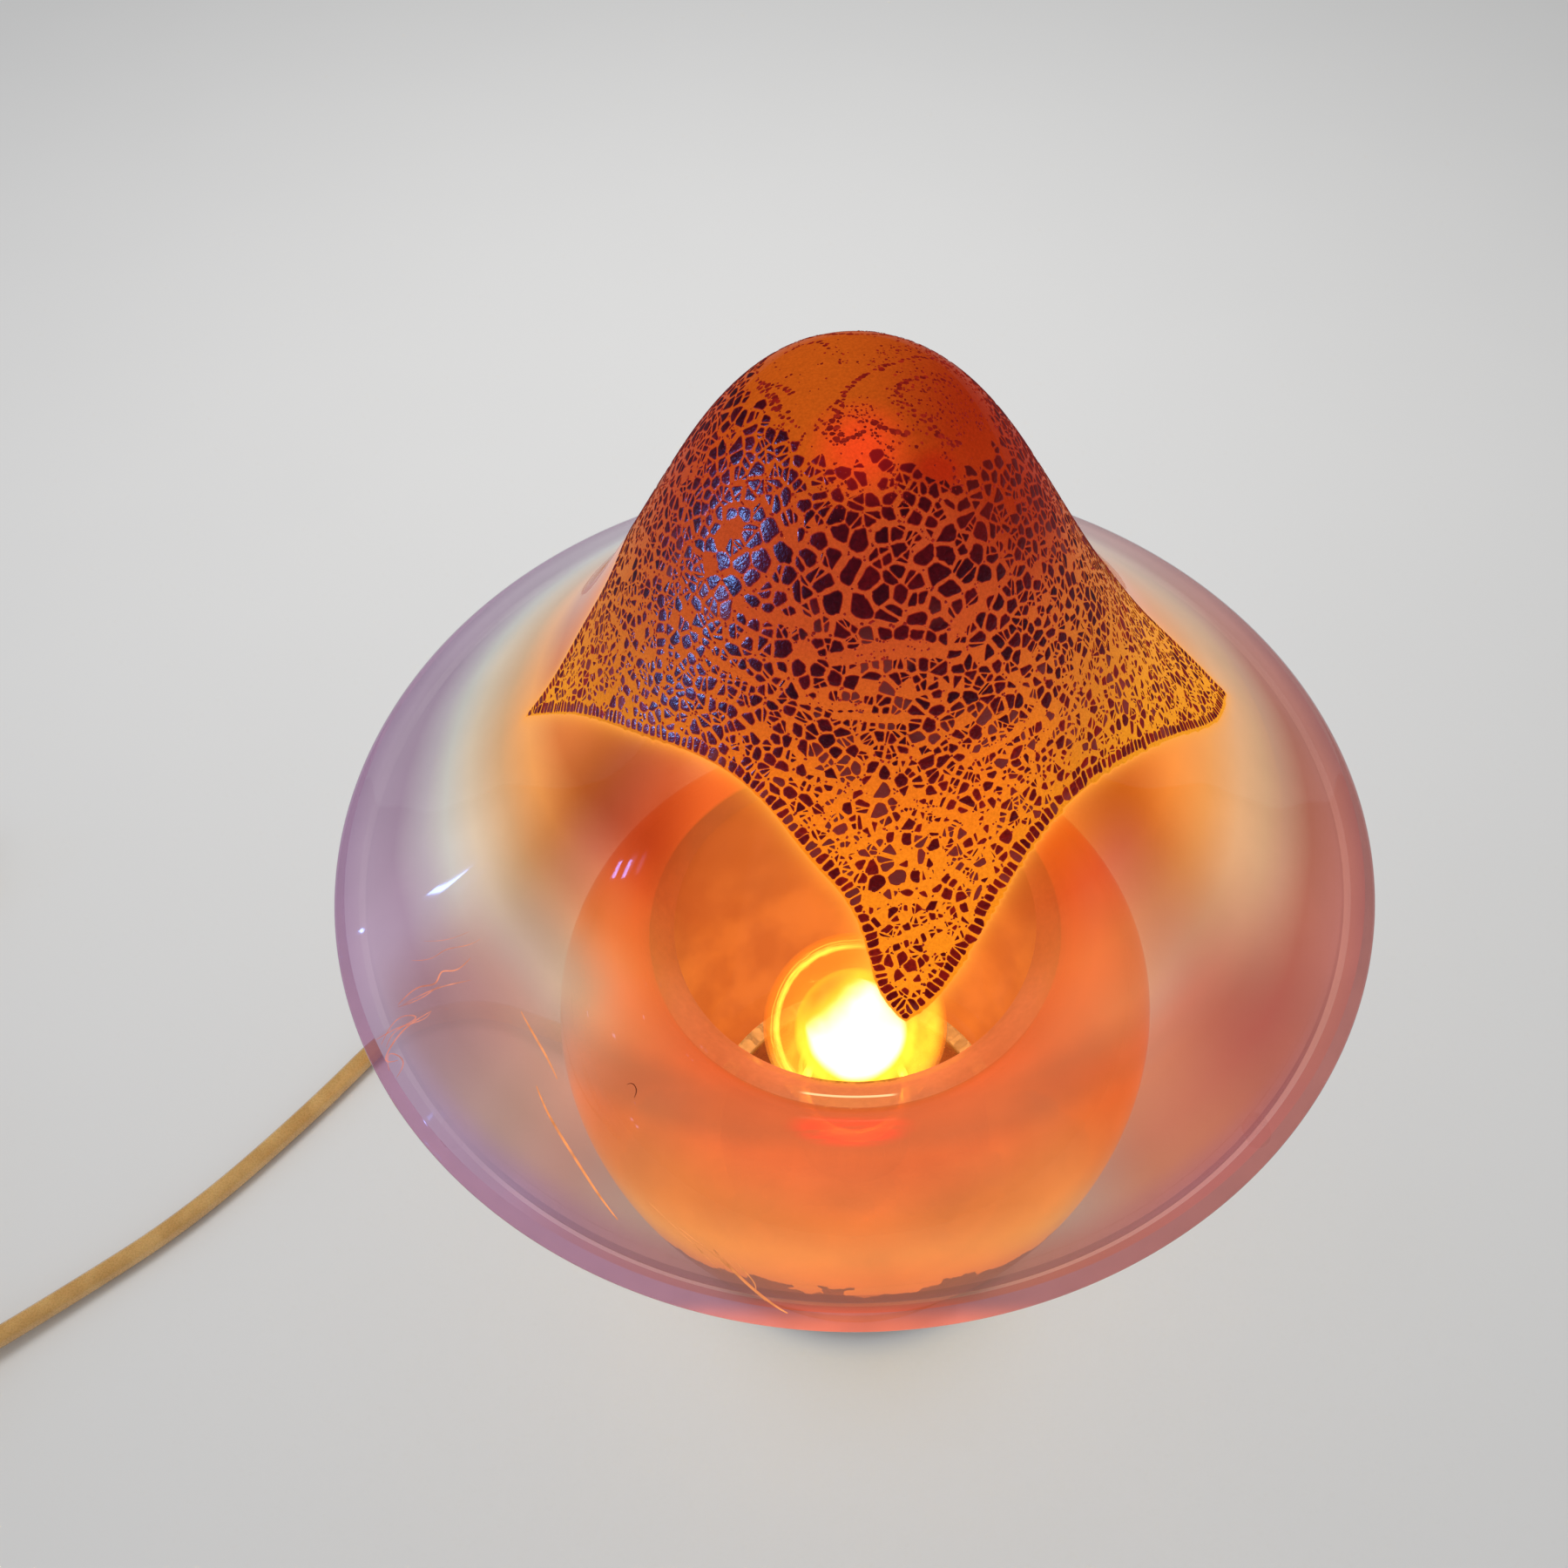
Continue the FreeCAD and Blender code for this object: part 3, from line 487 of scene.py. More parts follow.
co = np.zeros(len(cap_ob.data.vertices) * 3)
cap_ob.data.vertices.foreach_get("co", co)
co = co.reshape(-1, 3) * 1000
rr = np.hypot(co[:, 0], co[:, 1])
top = co[:, 2] > np.interp(rr, outer[:, 0], outer[:, 1]) - 1.5
d = np.full(len(co), 60.0)
near = top & (rr < 95)
d[near] = leaf_fields(co[near])
cap_ob.data.attributes.new("leaf_d", "FLOAT", "POINT").data.foreach_set("value", d.astype(np.float32))


# ------------------------------------------------------------------ the metal leaf's flakes
# The flakes are cells round scattered points, worked out on a plane that keeps the cap's angles: a point at radius r
# of the cap lies at radius plane_r of the plane, and plane_r / r is how much larger the plane is there.
outer_step = np.linalg.norm(np.diff(outer, axis=0), axis=1)
plane_log = np.zeros(len(outer))
plane_log[1] = math.log(outer_step[0])
for i in range(2, len(outer)):
    plane_log[i] = plane_log[i - 1] + outer_step[i - 1] / (0.5 * (outer[i, 0] + outer[i - 1, 0]))
plane_r = np.exp(plane_log)
plane_r[0] = 0.0
outer_tangent = np.gradient(outer, axis=0)
outer_tangent /= np.linalg.norm(outer_tangent, axis=1)[:, None]


def to_plane(x, y):
    r = np.maximum(np.hypot(x, y), 1e-6)
    k = np.interp(r, outer[:, 0], plane_r) / r
    return x * k, y * k, k


def to_cap(px, py, lift=0.0):
    """Points of the plane back on the cap, lifted off its outer face by `lift` mm."""
    rho = np.maximum(np.hypot(px, py), 1e-6)
    r = np.interp(rho, plane_r, outer[:, 0])
    z = np.interp(r, outer[:, 0], outer[:, 1])
    tr, tz = np.interp(r, outer[:, 0], outer_tangent[:, 0]), np.interp(r, outer[:, 0], outer_tangent[:, 1])
    az = np.arctan2(py, px)
    swell = np.minimum(1.0, r / 60.0)
    dr = -0.16 * swell * (1 + np.sin(2 * az + 0.7 + z * 0.01)) - 0.08 * swell * (1 + np.sin(5 * az + z * 0.03))
    rr = r + dr - tz * lift
    zz = z + tr * lift
    return np.column_stack([rr * np.cos(az), rr * np.sin(az), zz])


def wander(p, scale, seed=0.0):
    """Smooth noise from about -1 to 1."""
    return noise.noise(Vector((p[0] * scale + seed, p[1] * scale - seed * 0.7, p[2] * scale + seed * 0.3)))


BARE_TOP = [(-180, 17.2), (-166, 16.8), (-152, 14.8), (-131, 16.2), (-113, 18.0), (-97, 18.4), (-80, 16.3), (-67, 17.6), (-58, 21.0),
            (-43, 23.3), (-24, 24.6), (-6, 25.0), (20, 22.0), (60, 19.0), (100, 18.0), (140, 18.6), (166, 17.2), (180, 17.2)]
# wide cracks: middle, half length, slope in degrees, rows of empty cells
CRACKS = [((6.0, -36.9, 286.3), 8.5, 3, 2), ((-13.5, -32.0, 290.6), 6.0, -4, 1), ((-3.0, -41.6, 279.5), 5.0, 4, 1),
          ((14.6, -50.6, 259.5), 5.5, 24, 1), ((6.0, -61.2, 247.3), 6.5, 2, 1), ((-3.4, -51.0, 262.3), 4.5, -44, 1),
          ((26.0, -41.0, 267.0), 7.0, -8, 1), ((35.0, -36.0, 268.5), 3.0, -30, 1), ((-21.0, -34.8, 278.0), 5.0, 5, 1),
          ((-31.0, -36.2, 268.6), 5.5, 4, 1), ((18.5, -57.0, 247.5), 5.5, 52, 1), ((-8.0, -56.0, 254.0), 4.5, 62, 1),
          ((1.0, -55.0, 254.0), 4.0, -20, 1), ((12.0, -64.0, 240.0), 5.0, -12, 1), ((-40.0, -28.0, 262.0), 5.0, 8, 1),
          ((42.0, -25.0, 268.0), 5.0, -16, 1), ((20.0, -30.0, 289.0), 5.0, -30, 1), ((3.0, -43.0, 275.0), 6.0, 10, 1)]


def flake_size(p):
    """The distance between flakes in mm at a point of the cap."""
    x, y, z = p
    az = math.degrees(math.atan2(y, x))
    front = ease(math.cos(math.radians(az + 90)), 0.55, 0.86)
    back = ease(math.cos(math.radians(az - 75)), 0.45, 0.85)
    crown = ease(z, 279, 289) * (1 - ease(z, 297, 308))
    h = 2.45 + 1.35 * crown * max(front, back)
    painted_foot_shade = math.exp(-((x - 4) ** 2 / 420 + (z - 247) ** 2 / 110)) * (1 if y < 0 else 0)
    h += 0.8 * painted_foot_shade
    h *= 1 + 0.24 * wander(p, 0.10, 3.1) + 0.28 * wander(p, 0.38, 8.7)
    h -= 0.35 * ease(math.hypot(x, y), 60, 78)
    top = ease(z, 303, 312) * ease(x, 4, 16)
    h *= 1 - 0.36 * top
    return min(4.1, max(1.2, h))


rng = np.random.default_rng(41)
sites, reach, kind = [], [], []  # plan place, spacing, and 0 a flake, 1 empty, 2 outside
buckets = {}


def cap_z(x, y):
    return float(np.interp(math.hypot(x, y), outer[:, 0], outer[:, 1]))


def free(p, h):
    i, j, k = int(p[0] // 4.5), int(p[1] // 4.5), int(p[2] // 4.5)
    for a in (i - 1, i, i + 1):
        for b in (j - 1, j, j + 1):
            for c in (k - 1, k, k + 1):
                for q, hq in buckets.get((a, b, c), ()):
                    need = 0.395 * (h + hq)
                    if (p[0] - q[0]) ** 2 + (p[1] - q[1]) ** 2 + (p[2] - q[2]) ** 2 < need * need:
                        return False
    return True


def put_site(x, y, h, what):
    p = (x, y, cap_z(x, y))
    sites.append((x, y))
    reach.append(h)
    kind.append(what)
    buckets.setdefault((int(p[0] // 4.5), int(p[1] // 4.5), int(p[2] // 4.5)), []).append((p, h))


# a row of narrow flakes square to the outline, and their mirror images outside it
flat_x, flat_y, flat_k = to_plane(line[:, 0], line[:, 1])
along = np.column_stack([np.roll(flat_x, -3) - np.roll(flat_x, 3), np.roll(flat_y, -3) - np.roll(flat_y, 3)])
along /= np.linalg.norm(along, axis=1)[:, None]
inward = np.column_stack([-along[:, 1], along[:, 0]])
at = 0.6
rows_in, rows_out = [], []
while at < line_s[-1] - 0.7:
    k = int(np.searchsorted(line_s, at))
    p3 = tuple(line3[k])
    deep = 1.12 + 0.42 * wander(p3, 0.16, 5.0) + 0.15 * rng.uniform(-1, 1)
    q = np.array([flat_x[k], flat_y[k]])
    for sign, store in ((1, rows_in), (-1, rows_out)):
        w = q + sign * inward[k] * deep * flat_k[k]
        store.append(to_cap(np.array([w[0]]), np.array([w[1]]))[0][:2])
    at += (1.55 + 0.65 * wander(p3, 0.22, 1.0) + rng.uniform(-0.45, 0.45)) * (0.86 if p3[2] < 232 else 1.0)
rows_in, rows_out = np.array(rows_in), np.array(rows_out)
if leaf_fields(np.column_stack([rows_in, [cap_z(*q) for q in rows_in]])).mean() > 0:
    rows_in, rows_out = rows_out, rows_in
for pts, what in ((rows_in, 0), (rows_out, 2)):
    dist = leaf_fields(np.column_stack([pts, [cap_z(*q) for q in pts]]))
    for q, dq in zip(pts, dist):
        if (dq < -0.55) if what == 0 else (dq > 0.55):
            put_site(q[0], q[1], 1.5, what)

line_a = np.degrees(np.arctan2(line[:, 1], line[:, 0]))
order = np.argsort(line_a)
line_a, line_ar = line_a[order], line_r[order]


def inside_leaf(q, by):
    return math.hypot(q[0], q[1]) < float(np.interp(math.degrees(math.atan2(q[1], q[0])), line_a, line_ar, period=360)) - by


# empty cells along the wide cracks
for n in range(16):  # more of them round the sides and the back
    az = math.radians(rng.uniform(-18, 200))
    r = rng.uniform(33, 62)
    CRACKS.append(((r * math.cos(az), r * math.sin(az), cap_z(r * math.cos(az), r * math.sin(az))), rng.uniform(3.0, 6.5), rng.uniform(-20, 20), 1))
for (cx, cy, cz), half, slope, rows in CRACKS:
    x0, y0, k0 = to_plane(cx, cy)
    radial = np.array([x0, y0]) / math.hypot(x0, y0)
    side = np.array([-radial[1], radial[0]])
    turn = math.radians(slope)
    run = side * math.cos(turn) + radial * math.sin(turn)
    across = np.array([-run[1], run[0]])
    wide = 1.15 if rows == 1 else 2.3

    def on_crack(t, off):
        bend = 0.9 * wander((cx + t, cy, cz), 0.16, 2.0)
        taper = 1.0 - 0.35 * (t / half) ** 2
        w = np.array([x0, y0]) + k0 * (run * t + across * (bend + off * taper))
        return to_cap(np.array([w[0]]), np.array([w[1]]))[0]

    for sign in (-1, 1):
        t = -half
        while t < half:
            q = on_crack(t, sign * wide)
            h = 0.8 * flake_size(q)
            if inside_leaf(q, 5.0) and free(q, h):
                put_site(q[0], q[1], h, 0)
            t += 0.42 * h
    for t in np.arange(-half, half + 0.1, 0.55):
        for off in ((0.0,) if rows == 1 else (-0.45, 0.45)):
            q = on_crack(t, off)
            if inside_leaf(q, 5.0):
                put_site(q[0], q[1], 0.4, 1)

# the field itself
area_s = np.concatenate([[0], np.cumsum(outer_step * np.pi * (outer[1:, 0] + outer[:-1, 0]))])
most = int(np.searchsorted(outer[:, 0], 90))
tries = 60000
pick = rng.uniform(0, area_s[most], tries)
pick_r = np.interp(pick, area_s[:most + 1], outer[:most + 1, 0])
pick_a = rng.uniform(-math.pi, math.pi, tries)
cand = np.column_stack([pick_r * np.cos(pick_a), pick_r * np.sin(pick_a), np.interp(pick_r, outer[:, 0], outer[:, 1])])
cand_d = leaf_fields(cand)
bare_a, bare_r = np.array(BARE_TOP).T
for c, dc, ra, aa in zip(cand, cand_d, pick_r, pick_a):
    if dc > -2.4 and dc < 2.6:
        continue
    if dc >= 2.6:
        if dc < 9 and free(c, 3.0):
            put_site(c[0], c[1], 3.0, 2)
        continue
    limit = float(np.interp(math.degrees(aa), bare_a, bare_r)) + 1.3 * wander(c, 0.22, 6.0)
    if ra < limit:
        if ra > limit - 9 and free(c, 1.7):
            put_site(c[0], c[1], 1.7, 1)
        continue
    h = flake_size(c)
    if free(c, h):
        lost = rng.uniform() < 0.02
        put_site(c[0], c[1], h, 1 if lost else 0)

sites, reach, kind = np.array(sites), np.array(reach), np.array(kind)
flat = np.column_stack(to_plane(sites[:, 0], sites[:, 1]))
grid = delaunay_2d_cdt([Vector(q) for q in flat[:, :2]], [], [], 0, 1e-9)
corners_of = [list(t) for t in grid[2]]
origin = [o[0] if o else -1 for o in grid[3]]
beside = [set() for _ in sites]
for t in corners_of:
    t = [origin[v] for v in t]
    for a in t:
        beside[a].update(b for b in t if b != a)

# which plate of the crust each flake belongs to: cracks between plates are wider
plate_seed = []
for _ in range(4000):
    k = rng.integers(len(sites))
    q = np.array([*sites[k], cap_z(*sites[k])])
    if all(np.linalg.norm(q - o) > 9.5 for o in plate_seed):
        plate_seed.append(q)
plate_seed = np.array(plate_seed)
site3 = np.column_stack([sites, np.interp(np.hypot(sites[:, 0], sites[:, 1]), outer[:, 0], outer[:, 1])])
plate = np.array([np.argmin(np.linalg.norm(plate_seed - (q + 3.0 * np.array([wander(q, 0.11, 9.0), wander(q, 0.11, 19.0), wander(q, 0.11, 29.0)])), axis=1)) for q in site3])


def clip(poly, nx, ny, far):
    """The part of a convex polygon where nx x + ny y is at most far."""
    out = []
    side = [nx * a + ny * b - far for a, b in poly]
    for i, (p0, s0) in enumerate(zip(poly, side)):
        p1, s1 = poly[(i + 1) % len(poly)], side[(i + 1) % len(poly)]
        if s0 <= 0:
            out.append(p0)
        if (s0 < 0 < s1) or (s1 < 0 < s0):
            t = s0 / (s0 - s1)
            out.append((p0[0] + (p1[0] - p0[0]) * t, p0[1] + (p1[1] - p0[1]) * t))
    return out


def soften(poly, share):
    out = []
    for i in range(len(poly)):
        (x0, y0), (x1, y1) = poly[i], poly[(i + 1) % len(poly)]
        out.append((x0 + (x1 - x0) * share, y0 + (y1 - y0) * share))
        out.append((x1 - (x1 - x0) * share, y1 - (y1 - y0) * share))
    return out


def area_of(poly):
    return 0.5 * abs(sum(poly[n][0] * poly[(n + 1) % len(poly)][1] - poly[(n + 1) % len(poly)][0] * poly[n][1] for n in range(len(poly))))


def cut_up(poly, least, chance, wide, key):
    """A cell broken by cracks into smaller pieces."""
    size = area_of(poly)
    if size < least or hashed(key, 1.3, 41) > chance:
        return [poly]
    cx, cy = sum(a for a, _ in poly) / len(poly), sum(b for _, b in poly) / len(poly)
    far = max(poly, key=lambda q: math.hypot(q[0] - cx, q[1] - cy))
    turn = math.atan2(far[1] - cy, far[0] - cx) + (hashed(key, 2.1, 42) - 0.5) * 1.6
    nx, ny = math.cos(turn), math.sin(turn)
    mid = cx * nx + cy * ny + (hashed(key, 3.7, 43) - 0.5) * 0.45 * math.sqrt(size)
    gap = 0.06 if hashed(key, 4.9, 44) < 0.4 else wide * (0.6 + 0.7 * hashed(key, 5.3, 45))
    out = []
    for sign in (1, -1):
        part = clip(poly, sign * nx, sign * ny, sign * mid - gap)
        if len(part) > 2 and area_of(part) > 0.10:
            out += cut_up(part, least, chance * 0.75, wide, key * 1.37 + sign * 0.613)
    return out


def hashed(a, b, salt=0):
    v = math.sin(a * 12.9898 + b * 78.233 + salt * 37.719) * 43758.5453
    return v - math.floor(v)


class Flakes:
    """Collects small thin pieces of leaf lying on the cap."""

    def __init__(self):
        self.flat, self.lift, self.faces, self.depth, self.tone, self.thin = [], [], [], [], [], []

    def add(self, centre, k, poly, rim, tone, thin, lift=0.035):
        cx = sum(a for a, _ in poly) / len(poly)
        cy = sum(b for _, b in poly) / len(poly)
        n, start = len(poly), len(self.flat)
        for a, b in poly:
            self.flat.append((centre[0] + a * k, centre[1] + b * k))
            self.lift.append(lift)
            self.depth.append(0.0)
        for a, b in poly:
            far = max(1e-6, math.hypot(a - cx, b - cy))
            f = max(0.35, 1 - rim / far)
            self.flat.append((centre[0] + (cx + (a - cx) * f) * k, centre[1] + (cy + (b - cy) * f) * k))
            self.lift.append(lift + 0.05)
            self.depth.append(1.0)
        self.flat.append((centre[0] + cx * k, centre[1] + cy * k))
        self.lift.append(lift + 0.055)
        self.depth.append(1.0)
        for i in range(n):
            j = (i + 1) % n
            self.faces.append((start + i, start + j, start + n + j, start + n + i))
            self.faces.append((start + n + i, start + n + j, start + 2 * n))
        self.tone.extend([tone] * (2 * n + 1))
        self.thin.extend([thin] * (2 * n + 1))

    def make(self, name):
        flat = np.array(self.flat)
        verts = to_cap(flat[:, 0], flat[:, 1], np.array(self.lift))
        ob = mesh_object(name, verts * 0.001, self.faces)
        for key, values in (("depth", self.depth), ("tone", self.tone), ("thin", self.thin)):
            at = ob.data.attributes.new(key, "FLOAT", "POINT")
            at.data.foreach_set("value", np.array(values, np.float32))
        return ob


flakes, crumbs = Flakes(), Flakes()
for i in range(len(sites)):
    if kind[i] != 0 or not beside[i]:
        continue
    k = flat[i, 2]
    h = reach[i]
    poly = [(1.15 * h * math.cos(a), 1.15 * h * math.sin(a)) for a in np.linspace(0, 2 * math.pi, 10, endpoint=False)]
    scale = 0.55 + 0.45 * min(1.2, h / 3.4)
    for j in beside[i]:
        dx, dy = (flat[j, 0] - flat[i, 0]) / k, (flat[j, 1] - flat[i, 1]) / k
        far = math.hypot(dx, dy)
        if far < 1e-6:
            continue
        a, b = min(i, j), max(i, j)
        rnd = hashed(a, b)
        if kind[j] == 2:
            gap = 0.15
        elif kind[j] == 1:
            gap = 0.14 + 0.12 * rnd
        elif plate[i] != plate[j]:
            gap = 0.34 + 0.34 * rnd
        elif rnd < 0.22:
            gap = 0.075
        else:
            gap = 0.13 + 0.22 * hashed(a, b, 1)
        if kind[j] == 0 and h == 1.5:
            gap *= 0.52
        elif kind[j] == 0:
            gap *= scale * (1 + 0.45 * max(ease(276 - site3[i, 2], 0, 16), 0.6 * ease(abs(site3[i, 0] - 2), 24, 46)))
        poly = clip(poly, dx / far, dy / far, far / 2 - gap)
        if len(poly) < 3:
            break
    if len(poly) < 3:
        continue
    p3 = site3[i]
    lower = ease(276 - p3[2], 0, 16)
    sideways = ease(abs(p3[0] - 2), 24, 46)
    loose = max(lower, 0.75 * sideways)
    pieces = cut_up(poly, 1.5 - 0.7 * loose, 0.50 + 0.10 * loose, 0.13 + 0.07 * loose, i * 0.731 + 0.17) if h > 1.55 else [poly]
    for number, piece in enumerate(pieces):
        size = area_of(piece)
        if size < 0.12 or (h != 1.5 and hashed(i, number, 51) < 0.035 + 0.085 * loose):
            continue
        piece = soften(piece, 0.18)
        # ragged edges: each side is broken where it is long, and its points stray
        out = []
        for n, (a, b) in enumerate(piece):
            a2, b2 = piece[(n + 1) % len(piece)]
            length = math.hypot(a2 - a, b2 - b)
            parts = 2 if length > 0.7 else 1
            cx, cy = sum(q[0] for q in piece) / len(piece), sum(q[1] for q in piece) / len(piece)
            for m in range(parts):
                t = m / parts
                u, v = a + (a2 - a) * t, b + (b2 - b) * t
                far = max(1e-6, math.hypot(u - cx, v - cy))
                off = 0.13 * (hashed(i, n * 3 + m, 4) - 0.6) + 0.17 * wander((u, v, i * 1.7), 1.3)
                off *= min(1.0, far / 1.2)
                out.append((u + (u - cx) * off / far, v + (v - cy) * off / far))
        small = math.sqrt(size)
        flakes.add(flat[i], k, out, min(0.30, 0.20 * small + 0.06), hashed(i, 5 + number, 2), hashed(i, 3, 7))

# crumbs where three cracks meet, and loose ones in the wide cracks
for t in corners_of:
    a, b, c = (origin[v] for v in t)
    if min(a, b, c) < 0 or 2 in (kind[a], kind[b], kind[c]):
        continue
    pa, pb, pc = flat[a, :2], flat[b, :2], flat[c, :2]
    dd = 2 * (pa[0] * (pb[1] - pc[1]) + pb[0] * (pc[1] - pa[1]) + pc[0] * (pa[1] - pb[1]))
    if abs(dd) < 1e-9:
        continue
    ux = (pa @ pa * (pb[1] - pc[1]) + pb @ pb * (pc[1] - pa[1]) + pc @ pc * (pa[1] - pb[1])) / dd
    uy = (pa @ pa * (pc[0] - pb[0]) + pb @ pb * (pa[0] - pc[0]) + pc @ pc * (pb[0] - pa[0])) / dd
    empty = (kind[a] == 1) + (kind[b] == 1) + (kind[c] == 1)
    plates = len({plate[a], plate[b], plate[c]})
    chance = 0.10 + 0.22 * (plates > 1) + 0.12 * (plates > 2)
    if empty == 3:
        chance = 0.10
    rho = math.hypot(ux, uy)
    k = rho / max(1e-6, float(np.interp(rho, plane_r, outer[:, 0])))
    for n in range(2):
        if hashed(a + n * 31, b, 11 + c % 7) > chance:
            continue
        size = (0.16 + 0.20 * hashed(a, c, 12 + n)) * (1.0 if plates > 1 else 0.7)
        m = 4 + int(hashed(b, c, 13 + n) * 3)
        turn = hashed(a, b, 14 + n) * 6.28
        place = (ux + k * 0.5 * n * (hashed(a, b, 15) - 0.5) * 2, uy + k * 0.5 * n * (hashed(b, c, 16) - 0.5) * 2)
        poly = [(size * (0.7 + 0.6 * hashed(a, m2, 17 + n)) * math.cos(turn + 6.2832 * m2 / m),
                 size * (0.7 + 0.6 * hashed(a, m2, 17 + n)) * math.sin(turn + 6.2832 * m2 / m)) for m2 in range(m)]
        crumbs.add(place, k, poly, 0.10, hashed(a, b, 18), 0.2)

# strings of small flakes on the bare top
STRINGS = [
    ([(-2.9, -9.5), (-1.3, -5.2), (2.0, -1.4), (6.5, 2.0), (11.2, 5.4), (16.1, 7.2), (19.8, 6.2)], 0.95, 0.60, 1.0),
    ([(9.6, -9.8), (7.4, -8.6), (6.6, -6.4), (7.6, -3.6), (11.0, -1.0), (15.7, 0.6)], 1.0, 0.62, 1.0),
    ([(9.6, -9.8), (11.9, -10.6), (13.6, -11.8), (17.1, -11.4)], 1.0, 0.7, 0.8),
    ([(-16.8, 2.0), (-14.6, -3.4), (-12.6, -8.0), (-9.5, -11.0)], 1.0, 0.75, 0.8),
    ([(-16.0, -1.0), (-12.4, -3.0), (-10.4, -5.4)], 1.1, 0.6, 0.5),
    ([(-2.6, -10.5), (-4.0, -13.0), (-2.0, -15.5), (1.0, -14.0)], 0.95, 0.75, 0.9),
    ([(3.0, -12.5), (6.0, -13.0), (9.0, -13.5)], 1.1, 0.8, 0.6),
    ([(-6.0, 14.0), (0.0, 12.0), (6.0, 13.5), (9.0, 16.0)], 1.1, 0.7, 0.6),
    ([(-12.0, 8.0), (-7.0, 9.5), (-4.0, 6.0)], 1.2, 0.6, 0.5),
]
count_s = 0
for points, pitch, size, width in STRINGS:
    way = spline_points(points, 60)
    length = np.concatenate([[0], np.cumsum(np.linalg.norm(np.diff(way, axis=0), axis=1))])
    at = 0.0
    while at < length[-1]:
        for lane in range(2):
            count_s += 1
            if lane and hashed(count_s, 1, 21) > 0.55:
                continue
            x0 = float(np.interp(at, length, way[:, 0])) + width * (lane * 0.9 + hashed(count_s, 2, 22) - 0.5) * 0.8
            y0 = float(np.interp(at, length, way[:, 1])) + width * (lane * 0.9 + hashed(count_s, 3, 23) - 0.5) * 0.8
            fx, fy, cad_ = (float(v) for v in to_plane(x0, y0))
            m = 5 + int(hashed(count_s, 4, 24) * 3)
            turn = hashed(count_s, 5, 25) * 6.28
            big = size * (0.45 + 0.45 * hashed(count_s, 6, 26))
            poly = soften([(big * (0.75 + 0.5 * hashed(count_s, m2, 27)) * math.cos(turn + 6.2832 * m2 / m) * 1.15,
                            big * (0.75 + 0.5 * hashed(count_s, m2, 27)) * math.sin(turn + 6.2832 * m2 / m) * 0.85) for m2 in range(m)], 0.25)
            crumbs.add((fx, fy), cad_, poly, 0.12, hashed(count_s, 7, 28), 0.3)
        at += pitch * (0.75 + 0.5 * hashed(count_s, 8, 29))
# a fine dust of specks towards the top's right
for n in range(2600):
    a, rad = hashed(n, 1, 31) * 6.2832, 25.0 * math.sqrt(hashed(n, 2, 32))
    x0, y0 = rad * math.cos(a), rad * math.sin(a)
    p3 = (x0, y0, cap_z(x0, y0))
    thick = ease(x0, -2, 14) * 0.75 + 0.10
    ring = math.hypot(x0 - 13.7, y0 + 5.2)
    if 8.6 < ring < 11.0 or wander(p3, 0.16, 4.0) < 0.28 - 0.6 * thick:
        continue
    if math.hypot(x0 - 12, y0 + 16.5) < 4.0:
        continue
    fx, fy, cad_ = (float(v) for v in to_plane(x0, y0))
    big = 0.12 + 0.20 * hashed(n, 3, 33)
    turn = hashed(n, 4, 34) * 6.28
    poly = [(big * (0.7 + 0.6 * hashed(n, m2, 35)) * math.cos(turn + 6.2832 * m2 / 5), big * (0.7 + 0.6 * hashed(n, m2, 35)) * math.sin(turn + 6.2832 * m2 / 5)) for m2 in range(5)]
    crumbs.add((fx, fy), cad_, poly, 0.10, hashed(n, 5, 36), 0.5)

leaf_ob = flakes.make("leaf_flakes")
crumb_ob = crumbs.make("leaf_crumbs")

# fine threads of the film, drawn on the brim
THREADS = [([(92.3, 225.2), (94.8, 231.2), (96.6, 233.9)], 0.20, 0.8), ([(99.5, 232.0), (101.8, 234.8), (104.8, 239.1), (108.1, 243.2), (110.7, 246.4)], 0.24, 1.0),
           ([(110.2, 256.3), (113.0, 258.9), (115.9, 261.8), (117.8, 264.0)], 0.26, 1.0), ([(108.5, 252.5), (111.5, 257.2), (114.0, 259.8), (116.3, 261.9)], 0.14, 0.7),
           ([(111.5, 258.8), (114.0, 260.7), (115.4, 260.9)], 0.13, 0.7), ([(106.5, 249.0), (110.0, 254.0), (113.2, 257.5)], 0.10, 0.4),
           ([(117.0, 212.1), (111.3, 213.3), (106.6, 214.9), (104.9, 214.9)], 0.16, 0.7), ([(104.9, 214.9), (109.3, 214.0), (113.6, 213.9), (117.0, 214.8), (115.0, 215.9)], 0.18, 0.8),
           ([(116.4, 213.0), (110.5, 212.4), (108.0, 213.9), (112.5, 213.2), (115.8, 213.7)], 0.15, 0.7), ([(117.4, 216.0), (115.9, 214.6), (114.2, 216.3), (116.8, 217.2)], 0.14, 0.6),
           ([(110.1, 210.9), (104.7, 211.4), (101.5, 212.7), (99.7, 212.3), (97.4, 213.6), (93.7, 214.3)], 0.20, 0.8), ([(110.3, 211.1), (105.5, 212.6), (101.0, 213.4)], 0.15, 0.6),
           ([(104.1, 207.8), (100.0, 209.8), (97.0, 210.5), (93.0, 212.6), (90.4, 213.6)], 0.13, 0.5), ([(109.1, 211.4), (102.1, 213.3), (95.8, 216.4)], 0.16, 0.6),
           ([(100.5, 206.9), (96.0, 209.5), (91.5, 211.4)], 0.10, 0.35), ([(91.7, 242.2), (91.2, 242.8), (91.7, 243.5), (93.0, 243.6)], 0.10, -1.0)]
verts, faces, glint = [], [], []
